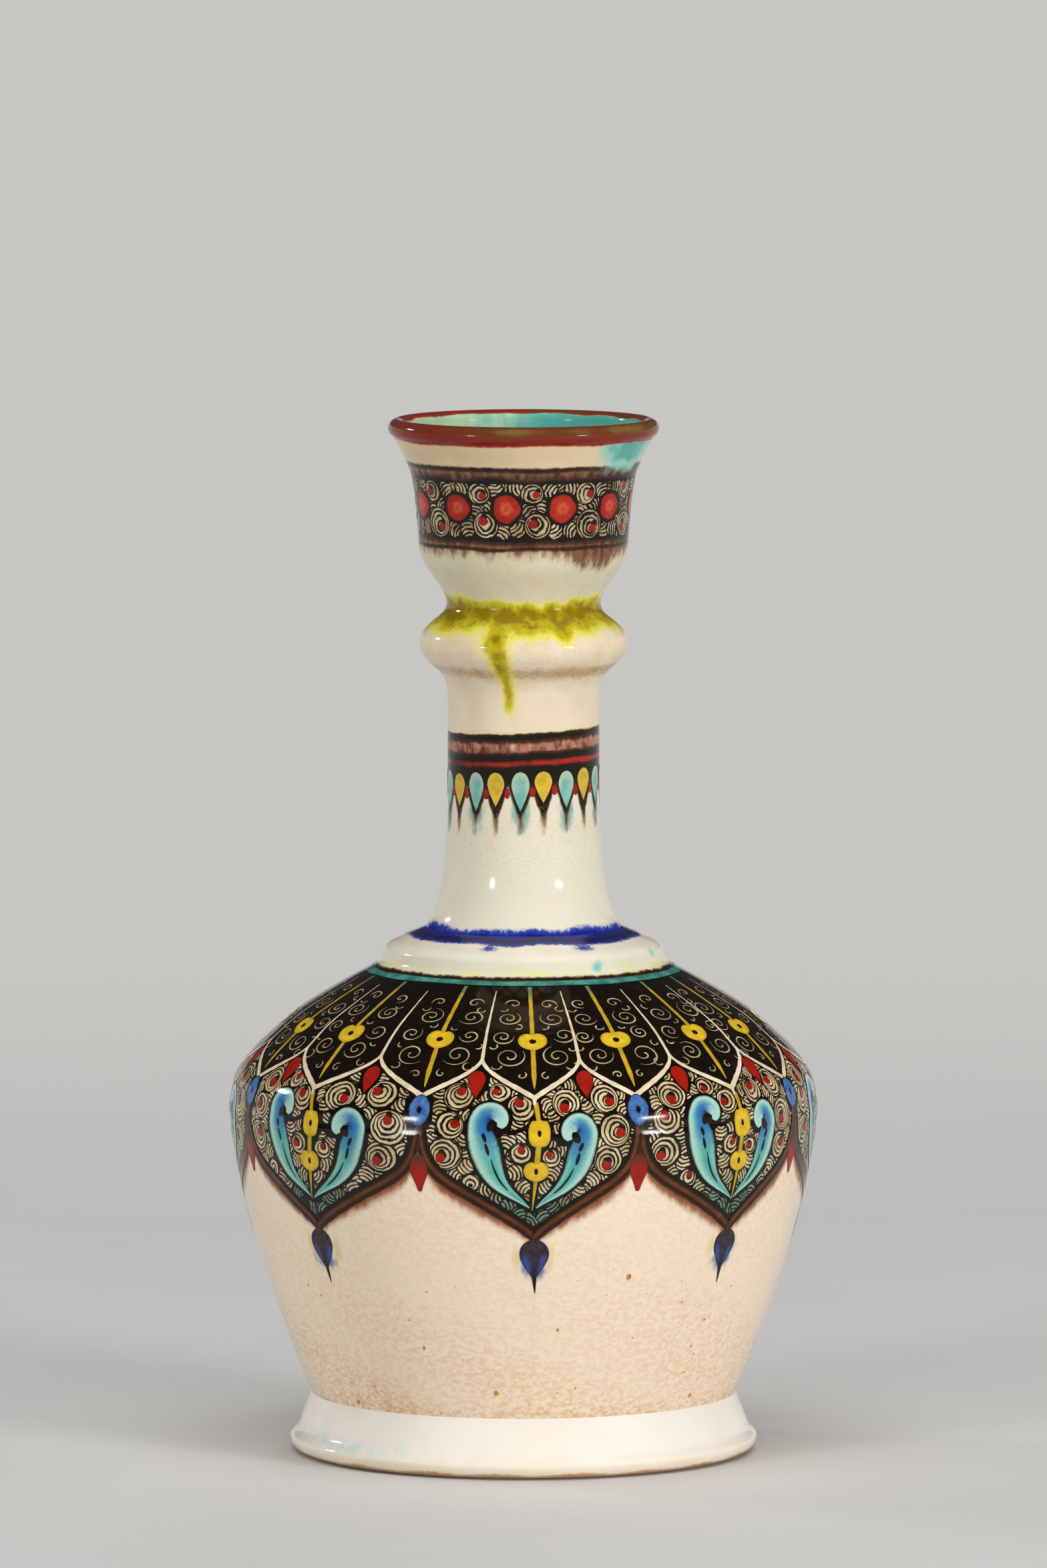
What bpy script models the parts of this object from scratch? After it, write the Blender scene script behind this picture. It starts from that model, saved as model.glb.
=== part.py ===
"""A long-necked ceramic decanter, as the seven thrown sections that a potter lutes together.

Each section is a turned shell. Every section but the foot stands on the one below it and drops a
spigot into that section's socket, with a film of slip between the two. Units are metres, +Z is up,
and the origin is the middle of the standing face.
"""

import math

import bmesh
import bpy

MM = 0.001

# Heights of the sections, from the standing face up
FOOT_HEIGHT = 17.0 * MM
BELLY_HEIGHT = 84.0 * MM
SHOULDER_HEIGHT = 40.3 * MM
COLLAR_HEIGHT = 11.3 * MM
NECK_LENGTH = 69.9 * MM
KNOP_HEIGHT = 24.5 * MM
CUP_HEIGHT = 53.0 * MM

# Outer radii, and what a flare or a fillet adds to them
FOOT_WAIST_RADIUS = 61.6 * MM
FOOT_FLARE = 6.2 * MM
BELLY_RADIUS = 85.2 * MM
COLLAR_RADIUS = 40.8 * MM
COLLAR_FILLET = 2.5 * MM
NECK_RADIUS = 22.0 * MM
NECK_ROOT_FLARE = 6.2 * MM
GROOVE_FLARE = 0.3 * MM
KNOP_BULGE = 8.2 * MM
CUP_RADIUS = 30.7 * MM
LIP_FLARE = 8.5 * MM

# Walls
FOOT_WALL = 8.0 * MM
FLOOR_THICKNESS = 7.0 * MM
BODY_WALL = 5.6 * MM
OPENING_WALL = 7.0 * MM
NECK_WALL = 4.4 * MM
KNOP_WALL = 6.0 * MM
CUP_WALL = 4.2 * MM
LIP_THICKNESS = 5.4 * MM

# How full the belly's swell is: 1 is a straight cone
BELLY_FULLNESS = 1.52

# The rolled edge that the foot stands on
FOOT_EDGE_HEIGHT = 4.0 * MM
STANDING_INSET = 3.6 * MM
STANDING_WIDTH = 5.7 * MM

# Luted joints: how deep a socket is, and the film of slip in it
SOCKET_DEPTH = 3.0 * MM
FLOOR_BOSS_DEPTH = 2.5 * MM
SLIP_FILM = 0.3 * MM

# The lip's roll, in degrees: from its inner side, over the top, to its outer underside
LIP_ROLL = range(180, -61, -30)

# Facets of a full turn, and of one span of a curved outline
TURN_FACETS = 40
SPAN_FACETS = 2
SHARP_ANGLE = math.radians(40)

# Radii at the seams
FOOT_RADIUS = FOOT_WAIST_RADIUS + FOOT_FLARE
SHOULDER_TOP_RADIUS = COLLAR_RADIUS + COLLAR_FILLET
NECK_BASE_RADIUS = NECK_RADIUS + NECK_ROOT_FLARE
GROOVE_RADIUS = NECK_RADIUS + GROOVE_FLARE
KNOP_RADIUS = NECK_RADIUS + KNOP_BULGE
LIP_RADIUS = CUP_RADIUS + LIP_FLARE
BORE_RADIUS = GROOVE_RADIUS - NECK_WALL

# Seam heights
FOOT_SEAM = FOOT_HEIGHT
GIRTH_SEAM = FOOT_SEAM + BELLY_HEIGHT
COLLAR_SEAM = GIRTH_SEAM + SHOULDER_HEIGHT
NECK_SEAM = COLLAR_SEAM + COLLAR_HEIGHT
KNOP_SEAM = NECK_SEAM + NECK_LENGTH
CUP_SEAM = KNOP_SEAM + KNOP_HEIGHT
RIM_HEIGHT = CUP_SEAM + CUP_HEIGHT

# Glaze colours of the sections, as (red, green, blue)
COOL_WHITE = (0.80, 0.76, 0.68)
WARM_CREAM = (0.76, 0.60, 0.44)
BLACK_SLIP = (0.020, 0.014, 0.010)
PALE_CREAM = (0.80, 0.74, 0.62)
OLIVE_CREAM = (0.62, 0.55, 0.22)


def flowing(points, facets=SPAN_FACETS):
    """A smooth outline through the points, as cubic spans that share their tangents."""
    chord = [math.dist(a, b) for a, b in zip(points, points[1:])]
    tangents = []
    for i in range(len(points)):
        first, last = max(i - 1, 0), min(i + 1, len(points) - 1)
        length = sum(chord[first:last])
        tangents.append([(b - a) / length for a, b in zip(points[first], points[last])])
    outline = [points[0]]
    for i, length in enumerate(chord):
        for step in range(1, facets + 1):
            t = step / facets
            start, end = 2 * t**3 - 3 * t**2 + 1, 3 * t**2 - 2 * t**3
            leave, arrive = (t**3 - 2 * t**2 + t) * length, (t**3 - t**2) * length
            outline.append(
                tuple(
                    start * a + leave * m + end * b + arrive * n
                    for a, m, b, n in zip(points[i], tangents[i], points[i + 1], tangents[i + 1])
                )
            )
    return outline


def between(first_radius, last_radius, base, height, shares):
    """Outline points from (height share, radius share) pairs, between two radii and above a base."""
    return [
        (first_radius + (last_radius - first_radius) * across, base + height * up)
        for up, across in shares
    ]


def socket(radius, wall, seam):
    """The top end of a section, from its outer edge in: a flat shoulder, then a socket cut in the wall."""
    middle = radius - wall / 2
    return [
        (radius, seam),
        (middle, seam),
        (middle, seam - SOCKET_DEPTH),
        (radius - wall, seam - SOCKET_DEPTH),
    ]


def spigot(radius, wall, seam):
    """The bottom end of a section, from its outer edge in: it seats in the socket with a film of slip."""
    middle = radius - wall / 2 - SLIP_FILM
    return [
        (radius, seam + SLIP_FILM),
        (middle, seam + SLIP_FILM),
        (middle, seam + SLIP_FILM - SOCKET_DEPTH),
        (radius - wall, seam + SLIP_FILM - SOCKET_DEPTH),
    ]


def glaze(name, colour, roughness):
    """A glossy glaze of one colour."""
    material = bpy.data.materials.new(name)
    material.use_nodes = True
    shader = material.node_tree.nodes["Principled BSDF"]
    shader.inputs["Base Color"].default_value = (*colour, 1.0)
    shader.inputs["Roughness"].default_value = roughness
    shader.inputs["Metallic"].default_value = 0.0
    return material


def turned(name, outline, material, parent):
    """A closed outline of (radius, height) points, turned round the axis into one solid."""
    mesh = bpy.data.meshes.new(name)
    shape = bmesh.new()
    points = [shape.verts.new((radius, 0.0, height)) for radius, height in outline]
    edges = [shape.edges.new(pair) for pair in zip(points, points[1:])]
    reaches_axis = outline[0][0] == 0.0 and outline[-1][0] == 0.0
    if not reaches_axis:
        edges.append(shape.edges.new((points[-1], points[0])))
    bmesh.ops.spin(
        shape,
        geom=points + edges,
        cent=(0, 0, 0),
        axis=(0, 0, 1),
        angle=math.tau,
        steps=TURN_FACETS,
        use_merge=True,
    )
    bmesh.ops.remove_doubles(shape, verts=shape.verts, dist=0.01 * MM)
    bmesh.ops.recalc_face_normals(shape, faces=shape.faces)
    shape.to_mesh(mesh)
    shape.free()
    mesh.shade_smooth()
    mesh.set_sharp_from_angle(angle=SHARP_ANGLE)
    mesh.materials.append(material)
    section = bpy.data.objects.new(name, mesh)
    section.parent = parent
    bpy.context.scene.collection.objects.link(section)
    return section


def foot_outline():
    """A flared ring: a slack concave flare, a rolled edge, a flat standing face and an open recess."""
    flare = between(
        FOOT_WAIST_RADIUS,
        FOOT_RADIUS,
        FOOT_EDGE_HEIGHT,
        FOOT_SEAM - FOOT_EDGE_HEIGHT,
        [(1.0, 0.0), (0.72, 0.22), (0.44, 0.46), (0.20, 0.66), (0.08, 0.90), (0.0, 1.0)],
    )
    standing = FOOT_RADIUS - STANDING_INSET
    rolled = [
        (FOOT_RADIUS - 0.15 * STANDING_INSET, 0.5 * FOOT_EDGE_HEIGHT),
        (FOOT_RADIUS - 0.50 * STANDING_INSET, 0.16 * FOOT_EDGE_HEIGHT),
        (standing, 0.0),
    ]
    inner_edge = standing - STANDING_WIDTH
    bore = FOOT_WAIST_RADIUS - FOOT_WALL
    recess = [
        (inner_edge, 0.0),
        (inner_edge - 0.15 * (inner_edge - bore), 0.06 * FOOT_HEIGHT),
        (inner_edge - 0.55 * (inner_edge - bore), 0.34 * FOOT_HEIGHT),
        (bore, 0.72 * FOOT_HEIGHT),
        (bore, FOOT_SEAM),
    ]
    return flowing(flare) + rolled + recess


def belly_outline():
    """The lower bowl: a wall whose swell eases off towards the girth, and a floor with a boss below."""
    steps = 9
    heights = [step / steps for step in range(steps, -1, -1)]
    shares = [(up, 1 - (1 - up) ** BELLY_FULLNESS) for up in heights]
    bottom = FOOT_SEAM + SLIP_FILM
    outer = between(FOOT_WAIST_RADIUS, BELLY_RADIUS, bottom, GIRTH_SEAM - bottom, shares)
    boss = FOOT_WAIST_RADIUS - FOOT_WALL - SLIP_FILM
    underside = bottom - FLOOR_BOSS_DEPTH
    floor = bottom + FLOOR_THICKNESS - FLOOR_BOSS_DEPTH
    wall = [(radius - BODY_WALL, height) for radius, height in outer[1:-2]]
    cove = flowing([(0.86 * boss, floor), (boss, floor + 0.04 * BELLY_HEIGHT), wall[-1]])
    return (
        [(0.0, floor)]
        + cove
        + wall[-2::-1]
        + socket(BELLY_RADIUS, BODY_WALL, GIRTH_SEAM)[::-1]
        + outer[1:]
        + [(boss, bottom), (boss, underside), (0.0, underside)]
    )


def shoulder_outline():
    """The upper bowl: a dome from the girth up to an opening that the collar closes."""
    shares = [
        (1.0, 0.0),
        (0.918, 0.146),
        (0.804, 0.336),
        (0.675, 0.532),
        (0.526, 0.699),
        (0.372, 0.847),
        (0.200, 0.962),
        (0.0, 1.0),
    ]
    bottom = GIRTH_SEAM + SLIP_FILM
    outer = between(SHOULDER_TOP_RADIUS, BELLY_RADIUS, bottom, COLLAR_SEAM - bottom, shares)
    throat = SHOULDER_TOP_RADIUS - OPENING_WALL
    vault = between(
        throat,
        BELLY_RADIUS - BODY_WALL,
        bottom,
        COLLAR_SEAM - SOCKET_DEPTH - 0.5 * BODY_WALL - bottom,
        [(0.0, 1.0), (0.200, 0.962), (0.400, 0.850), (0.620, 0.660), (0.820, 0.400), (1.0, 0.0)],
    )
    seat = spigot(BELLY_RADIUS, BODY_WALL, GIRTH_SEAM)
    rim = socket(SHOULDER_TOP_RADIUS, OPENING_WALL, COLLAR_SEAM)
    return flowing(outer)[:-1] + seat + vault[1:] + rim[:0:-1]


def collar_outline():
    """The stepped ring at the neck's root: an upright face, a round edge and a sloped top."""
    bottom = COLLAR_SEAM + SLIP_FILM
    rise = NECK_SEAM - bottom
    step = COLLAR_RADIUS - NECK_BASE_RADIUS
    top = [
        (NECK_BASE_RADIUS, NECK_SEAM),
        (NECK_BASE_RADIUS + 0.28 * step, bottom + 0.87 * rise),
        (NECK_BASE_RADIUS + 0.58 * step, bottom + 0.74 * rise),
        (NECK_BASE_RADIUS + 0.83 * step, bottom + 0.62 * rise),
        (NECK_BASE_RADIUS + 0.96 * step, bottom + 0.48 * rise),
        (COLLAR_RADIUS, bottom + 0.32 * rise),
        (COLLAR_RADIUS + 0.25 * (SHOULDER_TOP_RADIUS - COLLAR_RADIUS), bottom + 0.15 * rise),
    ]
    seat = spigot(SHOULDER_TOP_RADIUS, OPENING_WALL, COLLAR_SEAM)
    rim = socket(NECK_BASE_RADIUS, OPENING_WALL, NECK_SEAM)
    throat = SHOULDER_TOP_RADIUS - OPENING_WALL
    bore = NECK_BASE_RADIUS - OPENING_WALL
    funnel = [
        (throat, bottom + 0.05 * rise),
        (bore + 0.35 * (throat - bore), bottom + 0.42 * rise),
        (bore, NECK_SEAM - SOCKET_DEPTH - 0.10 * rise),
    ]
    return flowing(top) + seat + funnel + rim[:0:-1]


def neck_outline():
    """The neck: a tube that flares at its root."""
    bottom = NECK_SEAM + SLIP_FILM
    shares = [
        (0.52, 0.0),
        (0.36, 0.10),
        (0.225, 0.22),
        (0.135, 0.40),
        (0.055, 0.67),
        (0.0, 1.0),
    ]
    root = between(NECK_RADIUS, NECK_BASE_RADIUS, bottom, KNOP_SEAM - bottom, shares)
    seat = spigot(NECK_BASE_RADIUS, OPENING_WALL, NECK_SEAM)
    root_bore = NECK_BASE_RADIUS - OPENING_WALL
    inside = [
        (root_bore, bottom + 0.03 * NECK_LENGTH),
        (BORE_RADIUS + 0.3 * (root_bore - BORE_RADIUS), bottom + 0.16 * NECK_LENGTH),
        (BORE_RADIUS, bottom + 0.34 * NECK_LENGTH),
    ]
    rim = socket(GROOVE_RADIUS, NECK_WALL, KNOP_SEAM)
    upper = [(GROOVE_RADIUS, KNOP_SEAM), (NECK_RADIUS, KNOP_SEAM - 0.16 * NECK_LENGTH)]
    return upper + flowing(root)[:-1] + seat + inside + rim[:0:-1]


def knop_outline():
    """The knop: a hollow round bead between two grooves."""
    bottom = KNOP_SEAM + SLIP_FILM
    shares = [
        (1.0, 0.0),
        (0.88, 0.12),
        (0.76, 0.55),
        (0.64, 0.90),
        (0.52, 1.0),
        (0.40, 0.92),
        (0.28, 0.64),
        (0.15, 0.22),
        (0.0, 0.0),
    ]
    bead = between(GROOVE_RADIUS, KNOP_RADIUS, bottom, CUP_SEAM - bottom, shares)
    seat = spigot(GROOVE_RADIUS, NECK_WALL, KNOP_SEAM)
    rim = socket(GROOVE_RADIUS, NECK_WALL, CUP_SEAM)
    inside = between(
        BORE_RADIUS,
        KNOP_RADIUS - KNOP_WALL,
        bottom,
        CUP_SEAM - bottom,
        [(0.10, 0.0), (0.28, 0.5), (0.50, 1.0), (0.70, 0.5), (0.82, 0.0)],
    )
    return flowing(bead)[:-1] + seat + inside + rim[:0:-1]


def cup_outline():
    """The mouth: a round-bottomed cup whose wall flares into a rolled lip."""
    bottom = CUP_SEAM + SLIP_FILM
    rise = RIM_HEIGHT - bottom
    roll = LIP_THICKNESS / 2
    lip_centre = (LIP_RADIUS - roll, RIM_HEIGHT - roll)
    lip = [
        (
            lip_centre[0] + roll * math.cos(math.radians(angle)),
            lip_centre[1] + roll * math.sin(math.radians(angle)),
        )
        for angle in LIP_ROLL
    ]
    wall = [
        lip[-1],
        (CUP_RADIUS + 0.41 * LIP_FLARE, bottom + 0.775 * rise),
        (CUP_RADIUS + 0.19 * LIP_FLARE, bottom + 0.680 * rise),
        (CUP_RADIUS + 0.05 * LIP_FLARE, bottom + 0.530 * rise),
        (CUP_RADIUS - 0.03 * LIP_FLARE, bottom + 0.370 * rise),
    ]
    bowl = between(
        GROOVE_RADIUS,
        CUP_RADIUS,
        bottom,
        rise,
        [(0.285, 0.93), (0.215, 0.79), (0.145, 0.50), (0.075, 0.20), (0.0, 0.0)],
    )
    inside = between(
        BORE_RADIUS,
        CUP_RADIUS - CUP_WALL,
        bottom,
        rise,
        [(0.05, 0.0), (0.115, 0.30), (0.235, 0.78), (0.370, 1.0)],
    )
    mouth = [
        (CUP_RADIUS - CUP_WALL + 0.15 * LIP_FLARE, bottom + 0.620 * rise),
        (lip[0][0] - 0.15 * LIP_FLARE, bottom + 0.860 * rise),
    ]
    seat = spigot(GROOVE_RADIUS, NECK_WALL, CUP_SEAM)
    return lip + flowing(wall + bowl)[1:-1] + seat + inside + mouth


def main():
    for leftover in list(bpy.data.objects):
        bpy.data.objects.remove(leftover)
    decanter = bpy.data.objects.new("decanter", None)
    bpy.context.scene.collection.objects.link(decanter)
    turned("foot_ring", foot_outline(), glaze("foot_glaze", COOL_WHITE, 0.12), decanter)
    turned("belly_bowl", belly_outline(), glaze("belly_glaze", WARM_CREAM, 0.22), decanter)
    turned("shoulder_dome", shoulder_outline(), glaze("shoulder_glaze", BLACK_SLIP, 0.10), decanter)
    turned("neck_collar", collar_outline(), glaze("collar_glaze", PALE_CREAM, 0.12), decanter)
    turned("neck_tube", neck_outline(), glaze("neck_glaze", PALE_CREAM, 0.12), decanter)
    turned("neck_knop", knop_outline(), glaze("knop_glaze", OLIVE_CREAM, 0.12), decanter)
    turned("mouth_cup", cup_outline(), glaze("cup_glaze", PALE_CREAM, 0.12), decanter)


main()
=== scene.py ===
"""The look of a hand-thrown, hand-painted ceramic decanter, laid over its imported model.

Every section of the vessel is a fine turned shell that carries its soft stains as painted masks, and
the drawn ornament lies on it as thin raised enamel. Sizes are in millimetres until a mesh is made.
Turn angles are measured from the front, which faces -Y, and grow towards +X. A place on the vessel is
a turn angle and a length along one of its lines, which run from the top down.
"""

from __future__ import annotations

import logging
import math
from collections.abc import Callable
from dataclasses import dataclass, field, replace
from enum import Enum
from functools import cache
from typing import ClassVar

import bmesh
import bpy
import numpy as np
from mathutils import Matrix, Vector

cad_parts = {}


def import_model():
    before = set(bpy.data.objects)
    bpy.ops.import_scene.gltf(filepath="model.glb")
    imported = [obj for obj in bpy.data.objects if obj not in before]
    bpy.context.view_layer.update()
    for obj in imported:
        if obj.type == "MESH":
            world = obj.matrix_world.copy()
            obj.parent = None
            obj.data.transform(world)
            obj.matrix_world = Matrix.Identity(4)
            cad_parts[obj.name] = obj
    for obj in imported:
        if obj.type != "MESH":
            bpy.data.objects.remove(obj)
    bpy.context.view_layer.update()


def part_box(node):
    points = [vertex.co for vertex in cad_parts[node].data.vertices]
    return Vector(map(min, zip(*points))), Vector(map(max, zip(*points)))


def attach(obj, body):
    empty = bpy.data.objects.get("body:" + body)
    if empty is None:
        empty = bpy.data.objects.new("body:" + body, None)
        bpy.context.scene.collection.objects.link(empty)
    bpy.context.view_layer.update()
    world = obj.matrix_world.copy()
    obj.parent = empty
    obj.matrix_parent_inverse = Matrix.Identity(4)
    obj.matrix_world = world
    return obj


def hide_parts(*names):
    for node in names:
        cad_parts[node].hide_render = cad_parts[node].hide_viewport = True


LOG = logging.getLogger("decanter")
Array = np.ndarray
Colour = tuple[float, float, float]
Pair = tuple[float, float]
Masks = dict[str, Array]
Material = bpy.types.Material
Node = bpy.types.Node
Piece = bpy.types.Object
NodeTree = bpy.types.NodeTree
Socket = bpy.types.NodeSocket

MM = 0.001
TURN_COUNT = 480  # points round a section
SEED = 41
GLASS_IOR = 1.34
ROOT_LEAN = 0.38  # how far a rosette's root is from its middle, in its radii
BATCH_LIFT = 0.006  # how much higher each batch of a coat lies than the one before
INK = (0.006, 0.0035, 0.002)
NODES = ("foot_ring", "belly_bowl", "shoulder_dome", "neck_collar", "neck_tube", "neck_knop", "mouth_cup")


class Layer(Enum):
    """How high a coat of enamel stands on the glaze, in millimetres."""

    FIELD = 0.05
    LINE = 0.1
    LEAF = 0.15
    DOT = 0.2


def together(*parts: Array) -> Array:
    """Arrays brought to one shape and stacked along a new last axis."""
    return np.stack(np.broadcast_arrays(*parts), axis=-1)


def rolls(pick: int) -> np.random.Generator:
    """The random numbers of one job."""
    return np.random.default_rng(SEED + pick)


def shares(count: int) -> Array:
    """Even shares from 0 to 1."""
    return np.linspace(0.0, 1.0, count)


def part_way(ends: tuple, share: Array) -> Array:
    """The values at shares of the way from one end to the other."""
    return ends[0] + (ends[1] - ends[0]) * share


def lengths(points: Array) -> Array:
    """How far along a line each of its points is."""
    return np.concatenate([[0.0], np.cumsum(np.linalg.norm(np.diff(points, axis=0), axis=1))])


def flowing(knots: list | Array, step: float) -> Array:
    """A smooth line through knots: cubic spans whose tangents follow the neighbouring knots.

    Args:
        knots: Points of the line, as rows.
        step: Longest distance between two samples.

    Returns:
        The sampled points, as rows.
    """
    knots = np.asarray(knots, float)
    at = lengths(knots)
    chord = np.linalg.norm(np.diff(knots, axis=0), axis=1)
    tangent = np.gradient(knots, at, axis=0)
    tangent[1:-1] = (knots[2:] - knots[:-2]) / (at[2:] - at[:-2])[:, None]
    count = max(2, math.ceil(chord.max() / step))
    t = np.linspace(0.0, 1.0, count, endpoint=False)[None, :, None]
    length = chord[:, None, None]
    spans = (
        (2 * t**3 - 3 * t**2 + 1) * knots[:-1, None]
        + (t**3 - 2 * t**2 + t) * length * tangent[:-1, None]
        + (3 * t**2 - 2 * t**3) * knots[1:, None]
        + (t**3 - t**2) * length * tangent[1:, None]
    )
    return np.vstack([spans.reshape(-1, knots.shape[1]), knots[-1:]])


def edge_at(share: Array, knots: list, span: float, step: float) -> Array:
    """The values at shares of a span, on a smooth line through (share, value) knots that is sampled by a step."""
    edge = flowing(np.array(knots) * [span, 1.0], step)
    return np.interp(np.asarray(share) * span, edge[:, 0], edge[:, 1])


def between(first: float, last: float, low: float, top: float, knots: list) -> list:
    """Outline points from (height share, radius share) pairs, between two radii and two heights."""
    return [(part_way((first, last), across), part_way((low, top), up)) for up, across in knots]


def wander(turn: Array, reach: float, waves: int, pick: int) -> Array:
    """A hand's unsteadiness round the vessel: a sum of sines of whole wave counts with set phases.

    Args:
        turn: Turn angles, in radians.
        reach: About how far it strays either way.
        waves: The highest wave count.
        pick: Picks the phases.

    Returns:
        The offset at each angle.
    """
    dice = rolls(pick)
    counts = np.unique(dice.integers(1, waves + 1, 14))
    phases = dice.uniform(0.0, math.tau, counts.size)
    swing = dice.uniform(0.4, 1.0, counts.size) / np.sqrt(counts.size)
    angle = np.asarray(turn)[..., None] * counts + phases
    return reach * 1.4 * (np.sin(angle) * swing).sum(-1)


def inside(distance: Array, soft: float) -> Array:
    """A mask from a signed distance: 0.5 on the edge, with an edge as wide as soft."""
    return np.clip(0.5 + distance / soft, 0.0, 1.0)


def belt(value: Array, low: Array, top: Array, low_soft: float, top_soft: float) -> Array:
    """A mask between two edges, each as soft as given."""
    return np.minimum(inside(value - low, low_soft), inside(top - value, top_soft))


def hump(value: Array, centre: Array, width: Array) -> Array:
    """A bell of height 1 round a centre."""
    return np.exp(-(((value - centre) / width) ** 2))


def wrapped(angle: Array) -> Array:
    """Angles brought to half a turn either way."""
    return np.angle(np.exp(1j * angle))


def turned(radius: Array, height: Array, turn: Array) -> Array:
    """Radius, height and turn angle made into points in metres."""
    return together(radius * np.sin(turn), -radius * np.cos(turn), height) * MM


@dataclass
class Meridian:
    """A stretch of the vessel's outside line, as (radius, height) points run from the top down."""

    points: Array
    length: Array = field(init=False)
    normals: Array = field(init=False)

    def __post_init__(self) -> None:
        """Measure the line: its length so far, and the way out, which is its tangent turned a quarter."""
        self.points = self.points[np.append(True, np.diff(lengths(self.points)) > 1e-9)]
        self.length = lengths(self.points)
        tangent = np.gradient(self.points, self.length, axis=0)
        tangent /= np.linalg.norm(tangent, axis=1)[:, None]
        self.normals = together(-tangent[:, 1], tangent[:, 0])

    def radius(self, along: Array) -> Array:
        """The radius at lengths along the line."""
        return np.interp(along, self.length, self.points[:, 0])

    def height(self, along: Array) -> Array:
        """The height at lengths along the line."""
        return np.interp(along, self.length, self.points[:, 1])

    def profile(self, along: Array) -> Array:
        """The (radius, height) points at lengths along the line."""
        return together(self.radius(along), self.height(along))

    def reach(self, height: float) -> float:
        """The last length along the line at which it passes a height."""
        above = np.nonzero(self.points[:, 1] >= height)[0][-1]
        return float(np.interp(-height, -self.points[above : above + 2, 1], self.length[above : above + 2]))

    def outward(self, turn: Array, along: Array) -> Array:
        """The way out of the glaze at places on the vessel, as unit vectors."""
        out, up = (np.interp(along, self.length, part) for part in self.normals.T)
        return turned(out, up, turn) / MM

    def place(self, turn: Array, along: Array, lift: float) -> Array:
        """The points in metres at places on the vessel, lifted out from the glaze."""
        return turned(self.radius(along), self.height(along), turn) + lift * MM * self.outward(turn, along)


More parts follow.
